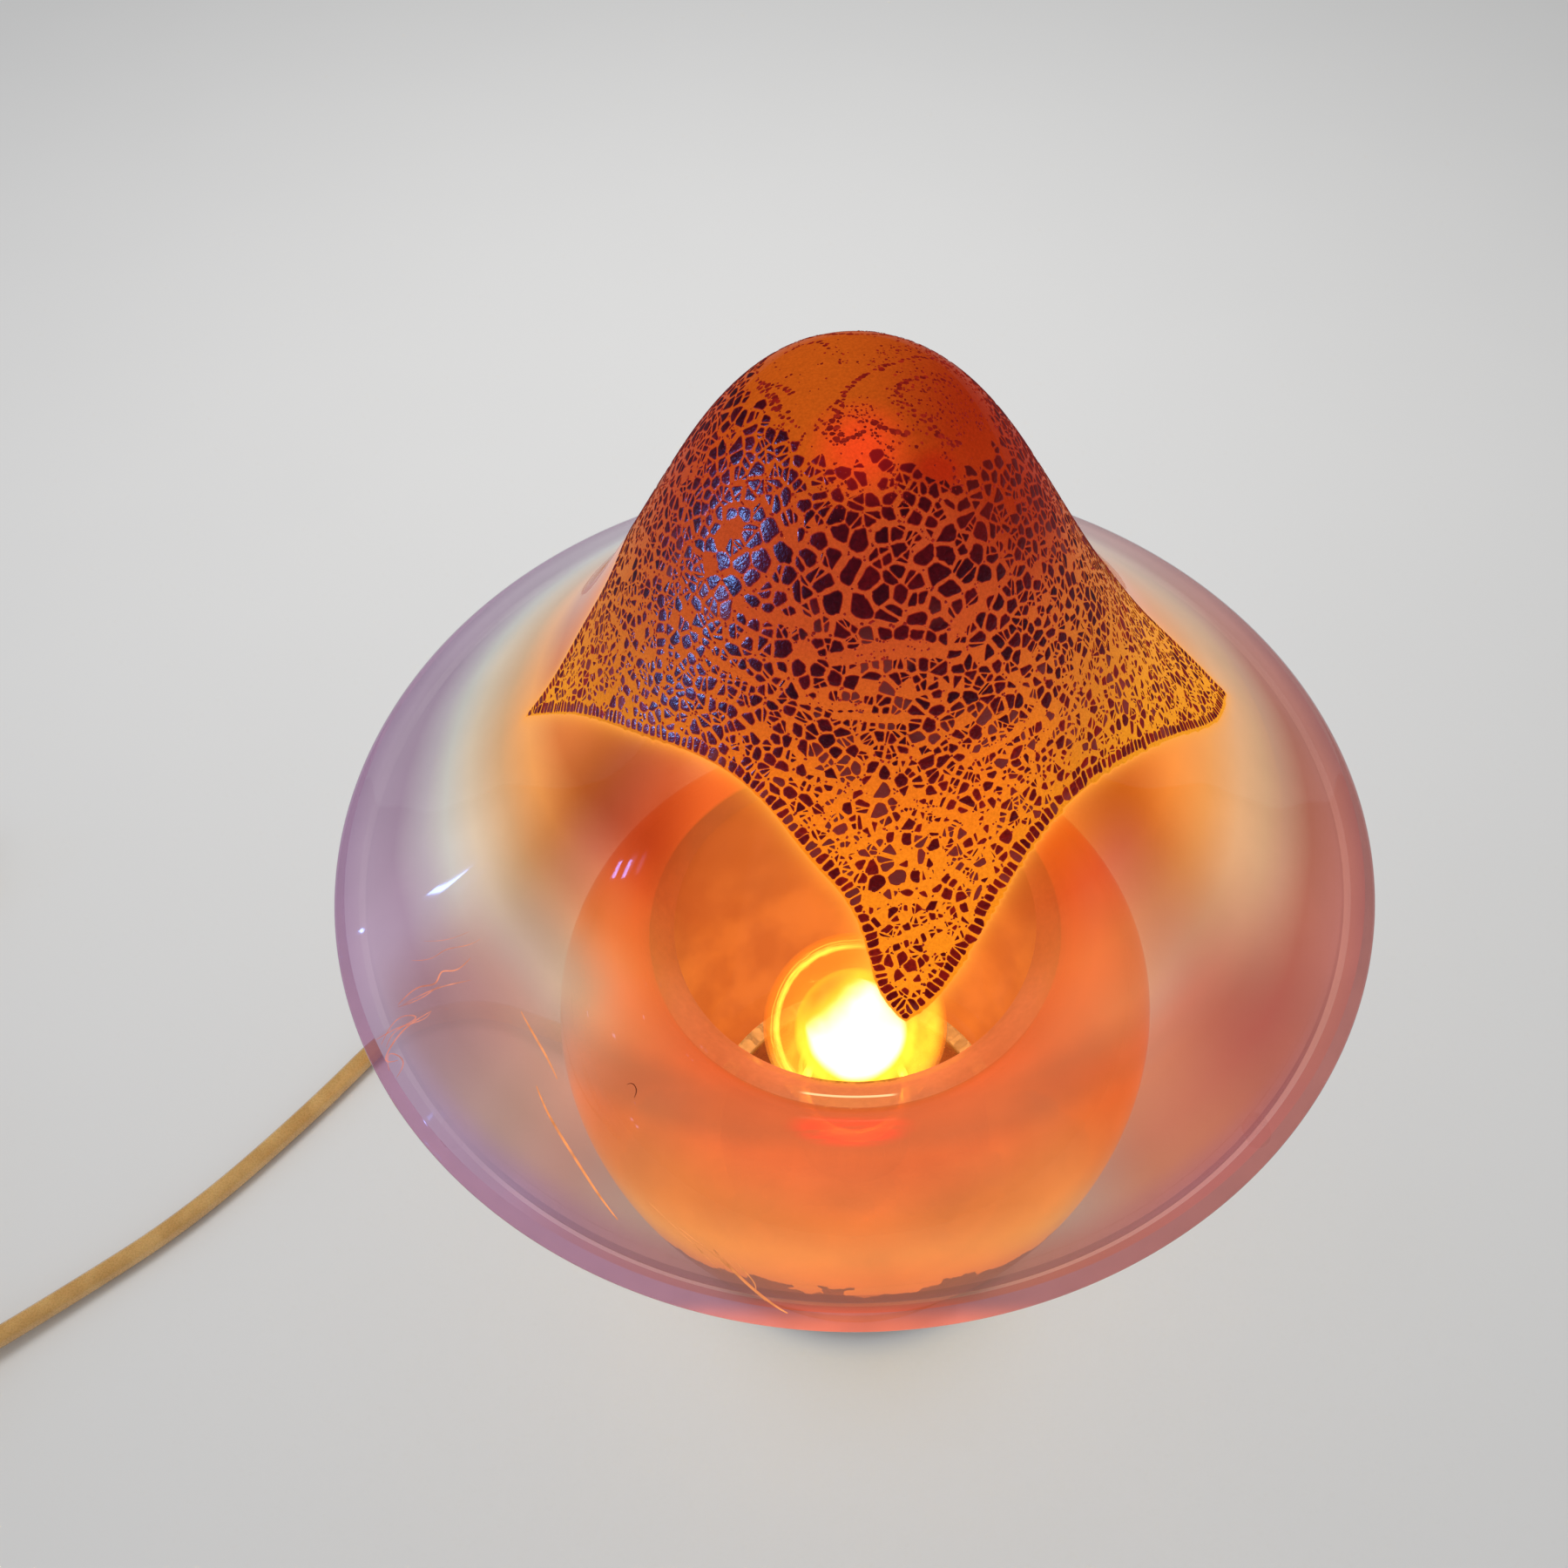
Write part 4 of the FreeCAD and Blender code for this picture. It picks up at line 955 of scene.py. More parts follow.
for path, wide, bright in THREADS:
    q = spline_points(path, 14 * (len(path) - 1))
    x, y = q[:, 0] * np.cos(np.radians(q[:, 1])), q[:, 0] * np.sin(np.radians(q[:, 1]))
    z = np.interp(q[:, 0], outer[:, 0], outer[:, 1]) + 0.03
    c = np.column_stack([x, y, z])
    t = np.gradient(c, axis=0)
    t /= np.linalg.norm(t, axis=1)[:, None]
    up_n = np.array([0.0, 0.0, 1.0])
    side_n = np.cross(t, up_n)
    side_n /= np.linalg.norm(side_n, axis=1)[:, None]
    s01 = np.linspace(0, 1, len(c))
    w = wide * (0.25 + 0.75 * np.sin(np.pi * np.clip(s01, 0.02, 0.98)) ** 0.6)
    start = len(verts)
    for k in range(len(c)):
        for a in range(4):
            th = math.pi / 2 * a
            verts.append(tuple(c[k] + side_n[k] * w[k] * math.cos(th) + up_n * w[k] * 0.5 * math.sin(th)))
            glint.append(bright)
    for k in range(len(c) - 1):
        for a in range(4):
            i0, i1 = start + 4 * k + a, start + 4 * k + (a + 1) % 4
            faces.append((i0, i1, i1 + 4, i0 + 4))
    faces.append(tuple(start + a for a in (3, 2, 1, 0)))
    faces.append(tuple(start + 4 * (len(c) - 1) + a for a in range(4)))
thread_ob = mesh_object("film_threads", np.array(verts) * 0.001, faces)
thread_ob.data.attributes.new("glint", "FLOAT", "POINT").data.foreach_set("value", np.array(glint, np.float32))


# ------------------------------------------------------------------ glass materials
def lustre_and_glow_colours(g, r, u, left, right):
    """A colour of the film's lustre and the painted glow of the bulb's light by radius (share of the rim's), blended
    from the left stops to the right ones by x / r.
    """
    a = g.ramp(r, left)
    b = g.ramp(r, right)
    return g.mixc(g.smooth(u, -0.75, 0.8), a, b)


def leaf_light(g, p):
    """The colour of the light that comes through the leaf's cracks, over the cap."""
    x, y, z = g.xyz(p)
    ax = g.math("ABSOLUTE", g.sub(x, 2.0))
    hue = g.noise(p, 0.030, 2.0)
    zz = g.add(z, g.mul(g.sub(hue, 0.5), 14.0))
    middle = g.ramp(g.line(zz, 225, 316), [(0.0, (0.97, 0.30, 0.010)), (0.33, (0.97, 0.245, 0.010)), (0.42, (0.92, 0.205, 0.010)), (0.53, (0.66, 0.130, 0.012)),
                                           (0.68, (0.50, 0.070, 0.014)), (0.82, (0.47, 0.060, 0.014)), (0.92, (0.52, 0.068, 0.008)), (1.0, (0.50, 0.075, 0.006))])
    sides = g.ramp(g.line(zz, 225, 316), [(0.0, (0.93, 0.34, 0.010)), (0.25, (0.84, 0.29, 0.010)), (0.40, (0.66, 0.195, 0.013)), (0.60, (0.52, 0.110, 0.020)),
                                          (0.75, (0.42, 0.060, 0.018)), (1.0, (0.40, 0.060, 0.006))])
    net = g.mixc(g.smooth(ax, 18, 44), middle, sides)
    dome = g.smooth(z, 304, 312)
    net = g.mixc(dome, net, g.mixc(g.smooth(x, -6, 22), (0.50, 0.085, 0.006), (0.33, 0.030, 0.004)))
    red = g.smooth(g.vmath("DISTANCE", p, (27.0, -6.0, 303.0)), 27, 8)
    net = g.mixc(g.mul(red, 0.85), net, (0.30, 0.017, 0.003))
    smear = g.smooth(g.vmath("LENGTH", g.vmath("MULTIPLY", g.vmath("SUBTRACT", p, (13.5, -16.5, 308.5)), (0.13, 0.25, 0.25))), 1.2, 0.3)
    net = g.mixc(g.mul(smear, 0.85), net, (0.36, 0.014, 0.003))
    glow = g.smooth(g.vmath("DISTANCE", p, (0.8, -15.5, 311.5)), 10.5, 1.0)
    net = g.mixc(g.mul(glow, 0.9), net, (0.90, 0.060, 0.012))
    grain = g.line(g.noise(p, 1.9, 3.0, 0.7), 0.3, 0.7, 0.82, 1.14)
    net = g.scale_colour(net, grain)
    # thick glass at its outline
    return g.scale_colour(net, g.smooth(g.facing(0.5), 0.86, 1.0, 1.0, 0.30))


g = Graph("cap_glass_outer")
p = g.object_mm()
x, y, z = g.xyz(p)
r_mm = g.vmath("LENGTH", g.combine(x, y, 0.0))
u, v = g.div(x, g.hi(r_mm, 1.0)), g.div(y, g.hi(r_mm, 1.0))
r = g.div(r_mm, CAP_R)
d = g.attribute("leaf_d")
facing = g.facing(0.5)
wave = g.mul(g.sub(g.noise(p, 0.020, 2.0), 0.5), 0.05)
rw = g.add(r, wave)
# lustre and painted glow: what the film adds, its own colour together with the bulb's light painted in, which makes the
# orange inner part and the cream ring of the brim
lustre_and_glow = lustre_and_glow_colours(g, rw, u,
    [(0.40, (0.50, 0.14, 0.02)), (0.51, (0.41, 0.125, 0.022)), (0.565, (0.55, 0.270, 0.078)), (0.63, (0.40, 0.28, 0.145)), (0.70, (0.415, 0.365, 0.25)),
     (0.755, (0.34, 0.36, 0.31)), (0.80, (0.26, 0.24, 0.26)), (0.86, (0.19, 0.14, 0.195)), (0.93, (0.22, 0.17, 0.23)), (1.0, (0.15, 0.10, 0.17))],
    [(0.40, (0.50, 0.14, 0.015)), (0.51, (0.43, 0.125, 0.010)), (0.565, (0.56, 0.220, 0.035)), (0.63, (0.51, 0.265, 0.075)), (0.70, (0.46, 0.30, 0.14)),
     (0.755, (0.375, 0.255, 0.13)), (0.80, (0.32, 0.19, 0.11)), (0.86, (0.24, 0.088, 0.050)), (0.93, (0.26, 0.105, 0.08)), (1.0, (0.15, 0.06, 0.065))])
far = g.smooth(v, 0.3, 0.9)
lustre_and_glow = g.mixc(g.mul(far, 0.35), lustre_and_glow, (0.16, 0.13, 0.13))
# what it lets through
open_tint = g.mixc(g.smooth(u, -0.7, 0.8), (0.78, 0.66, 0.72), (0.82, 0.56, 0.50))
dense_tint = g.mixc(g.smooth(u, -0.7, 0.8), (0.36, 0.31, 0.33), (0.40, 0.27, 0.26))
tint = g.mixc(g.smooth(facing, 0.05, 0.70), open_tint, dense_tint)
tint = g.mixc(g.smooth(r, 0.74, 0.58), tint, g.vmath("MULTIPLY", tint, (0.92, 0.60, 0.32)))
tint = g.mixc(g.mul(g.mul(g.smooth(r, 0.86, 0.66), g.smooth(v, -0.1, 0.5)), g.smooth(u, -0.2, 0.6)), tint, g.vmath("MULTIPLY", tint, (0.92, 0.62, 0.32)))
lustre_and_glow = g.vmath("ADD", lustre_and_glow, g.vmath("MULTIPLY", lustre_and_glow, tint))
tint = g.vmath("MULTIPLY", tint, tint)
# the brim in front of the belly and the throat
near = lustre_and_glow_colours(g, rw, u,
    [(0.40, (0.10, 0.02, 0.0)), (0.55, (0.06, 0.01, 0.0)), (0.63, (0.10, 0.10, 0.02)), (0.70, (0.17, 0.13, 0.050)),
     (0.755, (0.19, 0.120, 0.070)), (0.80, (0.14, 0.070, 0.048)), (0.86, (0.07, 0.05, 0.045)), (0.91, (0.06, 0.07, 0.09)), (0.95, (0.10, 0.10, 0.13))],
    [(0.40, (0.10, 0.02, 0.0)), (0.55, (0.05, 0.0, 0.0)), (0.63, (0.12, 0.075, 0.02)), (0.70, (0.12, 0.08, 0.03)),
     (0.755, (0.20, 0.055, 0.030)), (0.80, (0.16, 0.015, 0.0)), (0.86, (0.18, 0.01, 0.0)), (0.91, (0.19, 0.035, 0.01)), (0.95, (0.155, 0.065, 0.055))])
lustre_and_glow = g.mixc(g.smooth(v, -0.30, -0.72), lustre_and_glow, near)
front = g.smooth(v, -0.80, -0.97)
lustre_and_glow = g.mixc(front, lustre_and_glow, g.ramp(rw, [(0.45, (0.10, 0.03, 0.004)), (0.62, (0.05, 0.018, 0.003)), (0.87, (0.03, 0.010, 0.0)), (0.95, (0.12, 0.07, 0.03)), (1.0, (0.10, 0.04, 0.03))]))
# painted highlight: a red line of the bulb's light along the rim at the very front
lustre_and_glow = g.mixc(g.mul(g.smooth(v, -0.978, -0.997), g.smooth(r, 0.962, 0.978)), lustre_and_glow, (0.36, 0.06, 0.02))
cloud = g.line(g.noise(p, 0.05, 3.0), 0.3, 0.7, 0.95, 1.05)
lustre_and_glow = g.scale_colour(lustre_and_glow, cloud)
near_tint = g.mixc(g.smooth(r, 0.90, 0.95), g.mixc(g.smooth(v, -0.60, -0.85), g.mixc(g.smooth(u, -0.2, 0.4), (0.66, 0.52, 0.52), (0.66, 0.44, 0.36)), (0.78, 0.62, 0.50)),
                   g.ramp(g.line(u, -0.75, 0.75), [(0.0, (0.55, 0.33, 0.48)), (0.33, (0.64, 0.34, 0.38)), (0.5, (0.76, 0.36, 0.31)), (0.75, (0.72, 0.32, 0.29)), (1.0, (0.68, 0.30, 0.30))]))
tint = g.mixc(g.smooth(v, -0.50, -0.80), tint, near_tint)
inside = g.mul(g.mul(g.smooth(r, 0.575, 0.50), g.smooth(v, 0.35, 0.10)), g.smooth(g.math("ABSOLUTE", u), 0.46, 0.64))
tint = g.mixc(inside, tint, g.vmath("MULTIPLY", tint, g.mixc(g.smooth(u, -0.3, 0.3), (0.60, 0.32, 0.30), (0.92, 0.84, 0.30))))
band = g.mul(g.mul(g.smooth(rw, 0.700, 0.735), g.smooth(rw, 0.800, 0.765)), g.smooth(v, -0.6, -0.85))
tint = g.mixc(band, tint, g.vmath("MULTIPLY", tint, (0.80, 0.92, 1.05)))
veil = g.mul(g.mul(g.smooth(u, -0.35, -0.62), g.smooth(v, -0.90, -0.72)), g.mul(g.smooth(v, 0.35, 0.1), g.smooth(r, 0.60, 0.71)))
lustre_and_glow = g.vmath("ADD", lustre_and_glow, g.scale_colour(g.scale_colour(tint, veil), 0.40))
tint = g.scale_colour(tint, g.smooth(veil, 0.0, 1.0, 1.0, 0.35))
lower = g.mul(g.mul(g.smooth(r, 0.70, 0.77), g.smooth(r, 0.96, 0.90)), g.mul(g.smooth(v, -0.38, -0.58), g.smooth(g.math("ABSOLUTE", u), 0.36, 0.54)))
lower = g.mul(lower, g.mixf(g.smooth(u, -0.2, 0.2), 1.0, g.smooth(v, -0.50, -0.80)))
shade = g.mixc(g.smooth(u, -0.2, 0.2), (1.0, 0.78, 0.72), (1.04, 0.72, 0.54))
tint = g.mixc(lower, tint, g.vmath("MULTIPLY", tint, shade))
lustre_and_glow = g.mixc(lower, lustre_and_glow, g.vmath("MULTIPLY", lustre_and_glow, shade))
# the stain round the leaf, and the leaf itself
halo = g.mul(g.math("EXPONENT", g.mul(g.hi(d, 0.0), -0.75)), g.less(d, 20.0))
lustre_and_glow = g.mixc(g.mul(halo, 0.85), lustre_and_glow, (0.80, 0.33, 0.035))
warm = g.math("EXPONENT", g.mul(g.hi(d, 0.0), -0.10))
lustre_and_glow = g.vmath("ADD", lustre_and_glow, g.vmath("SCALE", (0.16, 0.04, 0.0), warm))
tint = g.mixc(g.mul(halo, 0.7), tint, (0.25, 0.08, 0.02))
leaf_colour = leaf_light(g, p)
leaf = g.smooth(d, 0.18, -0.12)
film_body = g.both(g.emission(lustre_and_glow, 1.0), g.clear(tint))
leaf_body = g.both(g.emission(leaf_colour, 1.0), g.clear((0.05, 0.012, 0.004)))
body = g.mixs(leaf, film_body, leaf_body)
shine = g.glossy((0.92, 0.95, 1.0), 0.035)
cap_outer = g.done(g.mixs(g.mul(g.fresnel(1.48), g.mixf(leaf, 0.7, 0.15)), body, shine))

g = Graph("leaf_flake")
p = g.object_mm()
x, y, z = g.xyz(p)
depth, tone, thin = g.attribute("depth"), g.attribute("tone"), g.attribute("thin")
mottle = g.noise(p, 1.3, 2.0, 0.6)
core = g.mixc(tone, (0.026, 0.0006, 0.0022), (0.070, 0.0012, 0.0022))
core = g.mixc(g.smooth(z, 276, 256), core, g.mixc(tone, (0.075, 0.0012, 0.0010), (0.200, 0.0055, 0.0010)))
core = g.scale_colour(core, g.line(mottle, 0.3, 0.7, 0.7, 1.35))
rim_c = g.mixc(tone, (0.23, 0.010, 0.003), (0.36, 0.020, 0.005))
worn = g.mul(g.mul(g.more(thin, 0.62), g.smooth(g.noise(p, 0.045, 2.0), 0.47, 0.54)), g.smooth(z, 296, 284))
core = g.mixc(g.mul(worn, 0.55), core, (0.20, 0.034, 0.026))
c = g.mixc(g.smooth(depth, 0.0, 1.0), rim_c, core)
# painted glow: flakes redder round the bright spot of the bulb's light at the top of the dome, as in the net's colour
c = g.mixc(g.mul(g.smooth(g.vmath("DISTANCE", p, (0.8, -15.5, 311.5)), 12.0, 2.0), 0.5), c, (0.42, 0.008, 0.006))
c = g.mixc(g.mul(g.smooth(g.vmath("DISTANCE", p, (27.0, -6.0, 302.0)), 24, 8), 0.4), c, (0.17, 0.010, 0.003))
sheen = g.glossy((0.016, 0.019, 0.030), 0.36, g.bump(mottle, 0.5, 0.0004))
spark = g.glossy((0.013, 0.013, 0.013), 0.13, g.bump(mottle, 0.5, 0.0003))
M_FLAKE = g.done(g.both(g.both(g.emission(c), sheen), spark))

g = Graph("leaf_crumb")
p = g.object_mm()
tone = g.attribute("tone")
c = g.mixc(tone, (0.16, 0.004, 0.001), (0.30, 0.014, 0.003))
c = g.scale_colour(c, g.line(g.noise(p, 1.3, 2.0), 0.3, 0.7, 0.75, 1.25))
M_CRUMB = g.done(g.both(g.emission(c), g.glossy((0.05, 0.05, 0.08), 0.4)))
g = Graph("film_thread")
p = g.object_mm()
x, y, z = g.xyz(p)
glint = g.attribute("glint")
c = g.mixc(g.smooth(x, -100, -60), (0.80, 0.26, 0.20), (1.05, 0.36, 0.12))
c = g.mixc(g.smooth(glint, -0.1, -0.5), c, (0.12, 0.02, 0.01))
c = g.scale_colour(c, g.line(g.noise(p, 0.25, 2.0), 0.3, 0.7, 0.55, 1.1))
share = g.mul(g.math("ABSOLUTE", glint), g.line(g.noise(p, 0.4, 2.0), 0.3, 0.7, 0.5, 1.0))
M_THREAD = g.done(g.mixs(share, g.clear((1.0, 1.0, 1.0)), g.emission(c)))
paint(thread_ob, M_THREAD)
paint(leaf_ob, M_FLAKE)
paint(crumb_ob, M_CRUMB)

g = Graph("cap_glass_lip")
p = g.object_mm()
x, y, z = g.xyz(p)
u = g.div(x, CAP_R)
v = g.div(y, CAP_R)
edge = g.smooth(g.facing(0.5), 0.72, 0.97)
base_c = g.mixc(g.smooth(u, -0.8, 0.8), (0.062, 0.031, 0.057), (0.072, 0.026, 0.022))
# painted highlight: the lip warmer towards the front and red at the very front, the bulb's light in the rim
base_c = g.vmath("ADD", base_c, g.scale_colour((0.045, 0.016, 0.012), g.smooth(v, -0.15, -0.60)))
base_c = g.mixc(g.smooth(v, -0.95, -0.995), base_c, (0.47, 0.105, 0.045))
base_c = g.mixc(edge, base_c, g.scale_colour(base_c, 0.45))
base_c = g.scale_colour(base_c, g.line(g.noise(p, 0.12, 3.0), 0.3, 0.7, 0.88, 1.12))
through = g.mixc(g.smooth(u, -0.8, 0.8), (0.60, 0.50, 0.60), (0.60, 0.41, 0.40))
body = g.both(g.emission(base_c), g.clear(g.mixc(edge, through, (0.34, 0.25, 0.29))))
cap_lip = g.done(g.mixs(g.mul(g.fresnel(1.48), 0.8), body, g.glossy((0.95, 0.97, 1.0), 0.05)))

g = Graph("cap_glass_inner")
p = g.object_mm()
body = g.both(g.emission(g.scale_colour((0.010, 0.007, 0.008), g.line(g.noise(p, 0.05, 2.0), 0.3, 0.7, 0.6, 1.4))), g.clear((0.97, 0.96, 0.96)))
cap_inner = g.done(g.mixs(g.mul(g.fresnel(1.45), 0.30), body, g.glossy((0.9, 0.93, 1.0), 0.06)))
paint(cap_ob, cap_outer, cap_lip, cap_inner)

# the base: an amber layer over the belly with a torn lower edge, clear lustre glass below and on the collar
g = Graph("base_glass_outer")
p = g.object_mm()
x, y, z = g.xyz(p)
r_mm = g.vmath("LENGTH", g.combine(x, y, 0.0))
u, v = g.div(x, g.hi(r_mm, 1.0)), g.div(y, g.hi(r_mm, 1.0))
facing = g.facing(0.5)
ring = g.combine(g.mul(u, 30.0), g.mul(v, 30.0), 0.0)
steps = g.channels(g.cells(g.vmath("ADD", ring, g.vmath("SCALE", g.noise(p, 0.12, 2.0, colour=True), 3.0)), 0.22)[1])[0]
fray = g.noise(g.combine(g.mul(u, 60.0), g.mul(v, 60.0), g.mul(z, 0.25)), 0.35, 3.0, 0.6)
level = g.ramp(g.line(v, -1.0, 1.0), [(0.0, (0.103,) * 3), (0.05, (0.098,) * 3), (0.15, (0.078,) * 3), (0.36, (0.054,) * 3), (0.58, (0.022,) * 3), (0.66, (0.0,) * 3), (1.0, (0.0,) * 3)])
torn = g.add(g.mul(level, 1000.0), g.add(g.mul(g.sub(steps, 0.5), 7.0), g.mul(g.sub(fray, 0.5), 9.0)))
above = g.smooth(g.sub(z, torn), -0.5, 0.5)
edge = g.smooth(g.math("ABSOLUTE", g.sub(g.sub(z, torn), 1.6)), 2.4, 0.2)
# the amber layer's colour with the bulb's light painted in as its glow: bright low on the belly, darker up towards the
# shoulder
amber_and_glow = g.ramp(g.line(z, 70, 150), [(0.0, (0.95, 0.46, 0.060)), (0.44, (0.97, 0.48, 0.060)), (0.60, (0.92, 0.38, 0.060)), (0.76, (0.76, 0.26, 0.052)), (0.84, (0.66, 0.165, 0.050)), (0.92, (0.60, 0.140, 0.060)), (1.0, (0.62, 0.125, 0.05))])
amber_and_glow = g.scale_colour(amber_and_glow, g.line(g.noise(p, 0.035, 3.0), 0.3, 0.7, 0.86, 1.12))
# painted light: brighter towards the front, darker on the back half
amber_and_glow = g.scale_colour(amber_and_glow, g.smooth(v, -0.45, -0.95, 1.0, 1.65))
amber_and_glow = g.mixc(g.smooth(v, -0.55, -0.05), amber_and_glow, g.mixc(g.smooth(g.noise(p, 0.03, 2.0), 0.35, 0.65), (0.44, 0.085, 0.012), (0.58, 0.120, 0.018)))
# painted shadow of the foot: a darker red low on the back of the belly
painted_foot_shade = g.mul(g.smooth(z, 95, 30), g.smooth(v, -0.4, 0.2))
amber_and_glow = g.mixc(painted_foot_shade, amber_and_glow, g.mixc(g.smooth(g.noise(p, 0.05, 3.0), 0.35, 0.65), (0.78, 0.17, 0.018), (1.0, 0.26, 0.03)))
amber_and_glow = g.mixc(g.mul(edge, 0.45), amber_and_glow, (1.5, 0.66, 0.12))
clear_film = g.ramp(g.line(z, 15, 110), [(0.0, (0.10, 0.05, 0.04)), (0.35, (0.09, 0.05, 0.08)), (0.7, (0.12, 0.08, 0.14)), (1.0, (0.14, 0.09, 0.15))])
# painted glow: warmer and brighter at the front
clear_film = g.mixc(g.smooth(v, -0.7, -1.0), clear_film, (0.22, 0.09, 0.03))
clear_film = g.scale_colour(clear_film, g.line(g.noise(p, 0.05, 3.0), 0.3, 0.7, 0.7, 1.3))
belly = g.mixc(above, clear_film, amber_and_glow)
belly_tint = g.mixc(above, (0.62, 0.54, 0.62), (0.12, 0.05, 0.025))
# collar, from the throat out to its lip: the bulb's light painted in as a glow, brightest at the throat and fading out
# to the lip's lustre
rc = g.line(r_mm, 54, 114)
collar = g.ramp(rc, [(0.0, (0.55, 0.11, 0.02)), (0.12, (0.42, 0.10, 0.03)), (0.35, (0.22, 0.07, 0.03)), (0.6, (0.09, 0.05, 0.04)), (1.0, (0.03, 0.022, 0.035))])
collar_tint = g.ramp(rc, [(0.0, (0.55, 0.30, 0.20)), (0.15, (0.80, 0.62, 0.52)), (0.45, (0.88, 0.80, 0.80)), (0.75, (0.72, 0.66, 0.72)), (1.0, (0.66, 0.60, 0.68))])
up = g.smooth(z, 144.5, 147.5)
colour = g.mixc(up, belly, collar)
# the bulb's light caught in the shoulder
streaks = g.noise(g.vmath("MULTIPLY", p, (0.05, 1.0, 1.0)), 0.9, 2.0, 0.6)
patch = g.smooth(g.vmath("LENGTH", g.vmath("MULTIPLY", g.vmath("SUBTRACT", p, (-1.5, -58.5, 142.2)), (0.054, 0.16, 0.35))), 1.1, 0.55)
colour = g.mixc(g.mul(patch, g.smooth(streaks, 0.30, 0.55, 0.35, 1.0)), colour, (1.75, 0.11, 0.07))
tint = g.mixc(up, belly_tint, collar_tint)
deep = g.smooth(v, -0.75, -0.35)
colour = g.mixc(deep, colour, g.vmath("ADD", colour, g.vmath("MULTIPLY", colour, tint)))
tint = g.mixc(deep, tint, g.vmath("MULTIPLY", tint, tint))
tint = g.mixc(g.mul(g.smooth(facing, 0.55, 0.98), 0.55), tint, (0.20, 0.13, 0.14))
body = g.both(g.emission(colour), g.clear(tint))
base_outer = g.done(g.mixs(g.mul(g.fresnel(1.48), 0.6), body, g.glossy((0.92, 0.95, 1.0), 0.05)))

g = Graph("base_glass_inner")
p = g.object_mm()
x, y, z = g.xyz(p)
r_mm = g.vmath("LENGTH", g.combine(x, y, 0.0))
v = g.div(y, g.hi(r_mm, 1.0))
# the throat's bead: the bulb's light painted in, brighter on the near side, with a painted gold glint and a painted
# cream reflection line of the bulb at the front
bead = g.mul(g.mul(g.smooth(z, 158.0, 152.5), g.smooth(z, 135.0, 141.0)), g.smooth(v, 0.55, 0.10))
close = g.smooth(v, -0.20, -0.62)
speck = g.noise(p, 0.55, 3.0, 0.6)
middle = g.smooth(g.math("ABSOLUTE", x), 24.0, 10.0)
gold_glint = g.mul(g.mul(g.smooth(g.math("ABSOLUTE", x), 15.0, 8.0), close), g.smooth(g.math("ABSOLUTE", g.sub(z, 147.6)), 2.6, 1.4))
bead_c = g.mixc(close, (0.44, 0.095, 0.022), g.mixc(g.smooth(g.math("ABSOLUTE", x), 16.0, 36.0), (1.06, 0.300, 0.120), (0.80, 0.205, 0.075)))
bead_c = g.mixc(gold_glint, bead_c, g.mixc(g.smooth(speck, 0.40, 0.60), (0.50, 0.16, 0.020), (0.90, 0.42, 0.05)))
bead_c = g.scale_colour(bead_c, g.line(speck, 0.3, 0.7, 0.92, 1.08))
cream_reflection = g.mul(g.mul(g.smooth(g.math("ABSOLUTE", g.sub(z, g.add(156.0, g.mul(g.mul(x, x), 0.004)))), 0.62, 0.30), g.smooth(g.math("ABSOLUTE", g.add(x, 1.5)), 12.8, 9.5)), g.less(y, 0.0))
bead_c = g.mixc(cream_reflection, bead_c, (1.7, 1.35, 0.75))
bead = g.hi(bead, cream_reflection)
plain_c = g.scale_colour((0.012, 0.007, 0.006), g.line(g.noise(p, 0.05, 2.0), 0.3, 0.7, 0.6, 1.4))
body = g.both(g.emission(g.mixc(bead, plain_c, bead_c)), g.clear(g.mixc(bead, (0.97, 0.95, 0.94), g.mixc(close, (0.42, 0.34, 0.26), g.mixc(middle, (0.16, 0.11, 0.07), (0.10, 0.07, 0.04))))))
base_inner = g.done(g.mixs(g.mul(g.fresnel(1.45), 0.25), body, g.glossy((0.9, 0.93, 1.0), 0.08)))
paint(base_ob, base_outer, base_inner)

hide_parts("cap_glass")
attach(cap_ob, "cap")
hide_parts("base_bowl", "base_belly", "base_shoulder", "base_collar")
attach(base_ob, "base")
for ob in (leaf_ob, crumb_ob, thread_ob):
    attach(ob, "cap")
    ob.visible_shadow = False
cap_ob.visible_diffuse = False
base_ob.visible_diffuse = False
cap_ob.visible_shadow = False
base_ob.visible_shadow = False

# ------------------------------------------------------------------ other materials
def plain_material(name, dark, light, rough, scale=0.4, metallic=0.0, bump=0.02, spec=0.5, coat=0.0, grain=2.0, wear=None):
    g = Graph(name)
    p = g.object_mm()
    n = g.noise(p, scale, 4.0, 0.6)
    n2 = g.noise(p, grain, 3.0, 0.6)
    c = g.mixc(g.smooth(n, 0.3, 0.7), dark, light)
    if wear is not None:
        geo = g.node("ShaderNodeNewGeometry")
        edge = g.smooth(geo.outputs["Pointiness"], 0.52, 0.60)
        c = g.mixc(g.mul(edge, g.smooth(n2, 0.4, 0.6)), c, wear)
    ro = g.line(n2, 0.3, 0.7, rough * 0.8, min(1.0, rough * 1.25))
    nm = g.bump(g.add(g.mul(n2, 0.6), g.mul(n, 0.4)), 0.35, bump * 0.001)
    sh = g.principled(Base_Color=c, Roughness=ro, Metallic=metallic, Normal=nm, Specular_IOR_Level=spec, Coat_Weight=coat, Coat_Roughness=0.08)
    return g.done(sh)


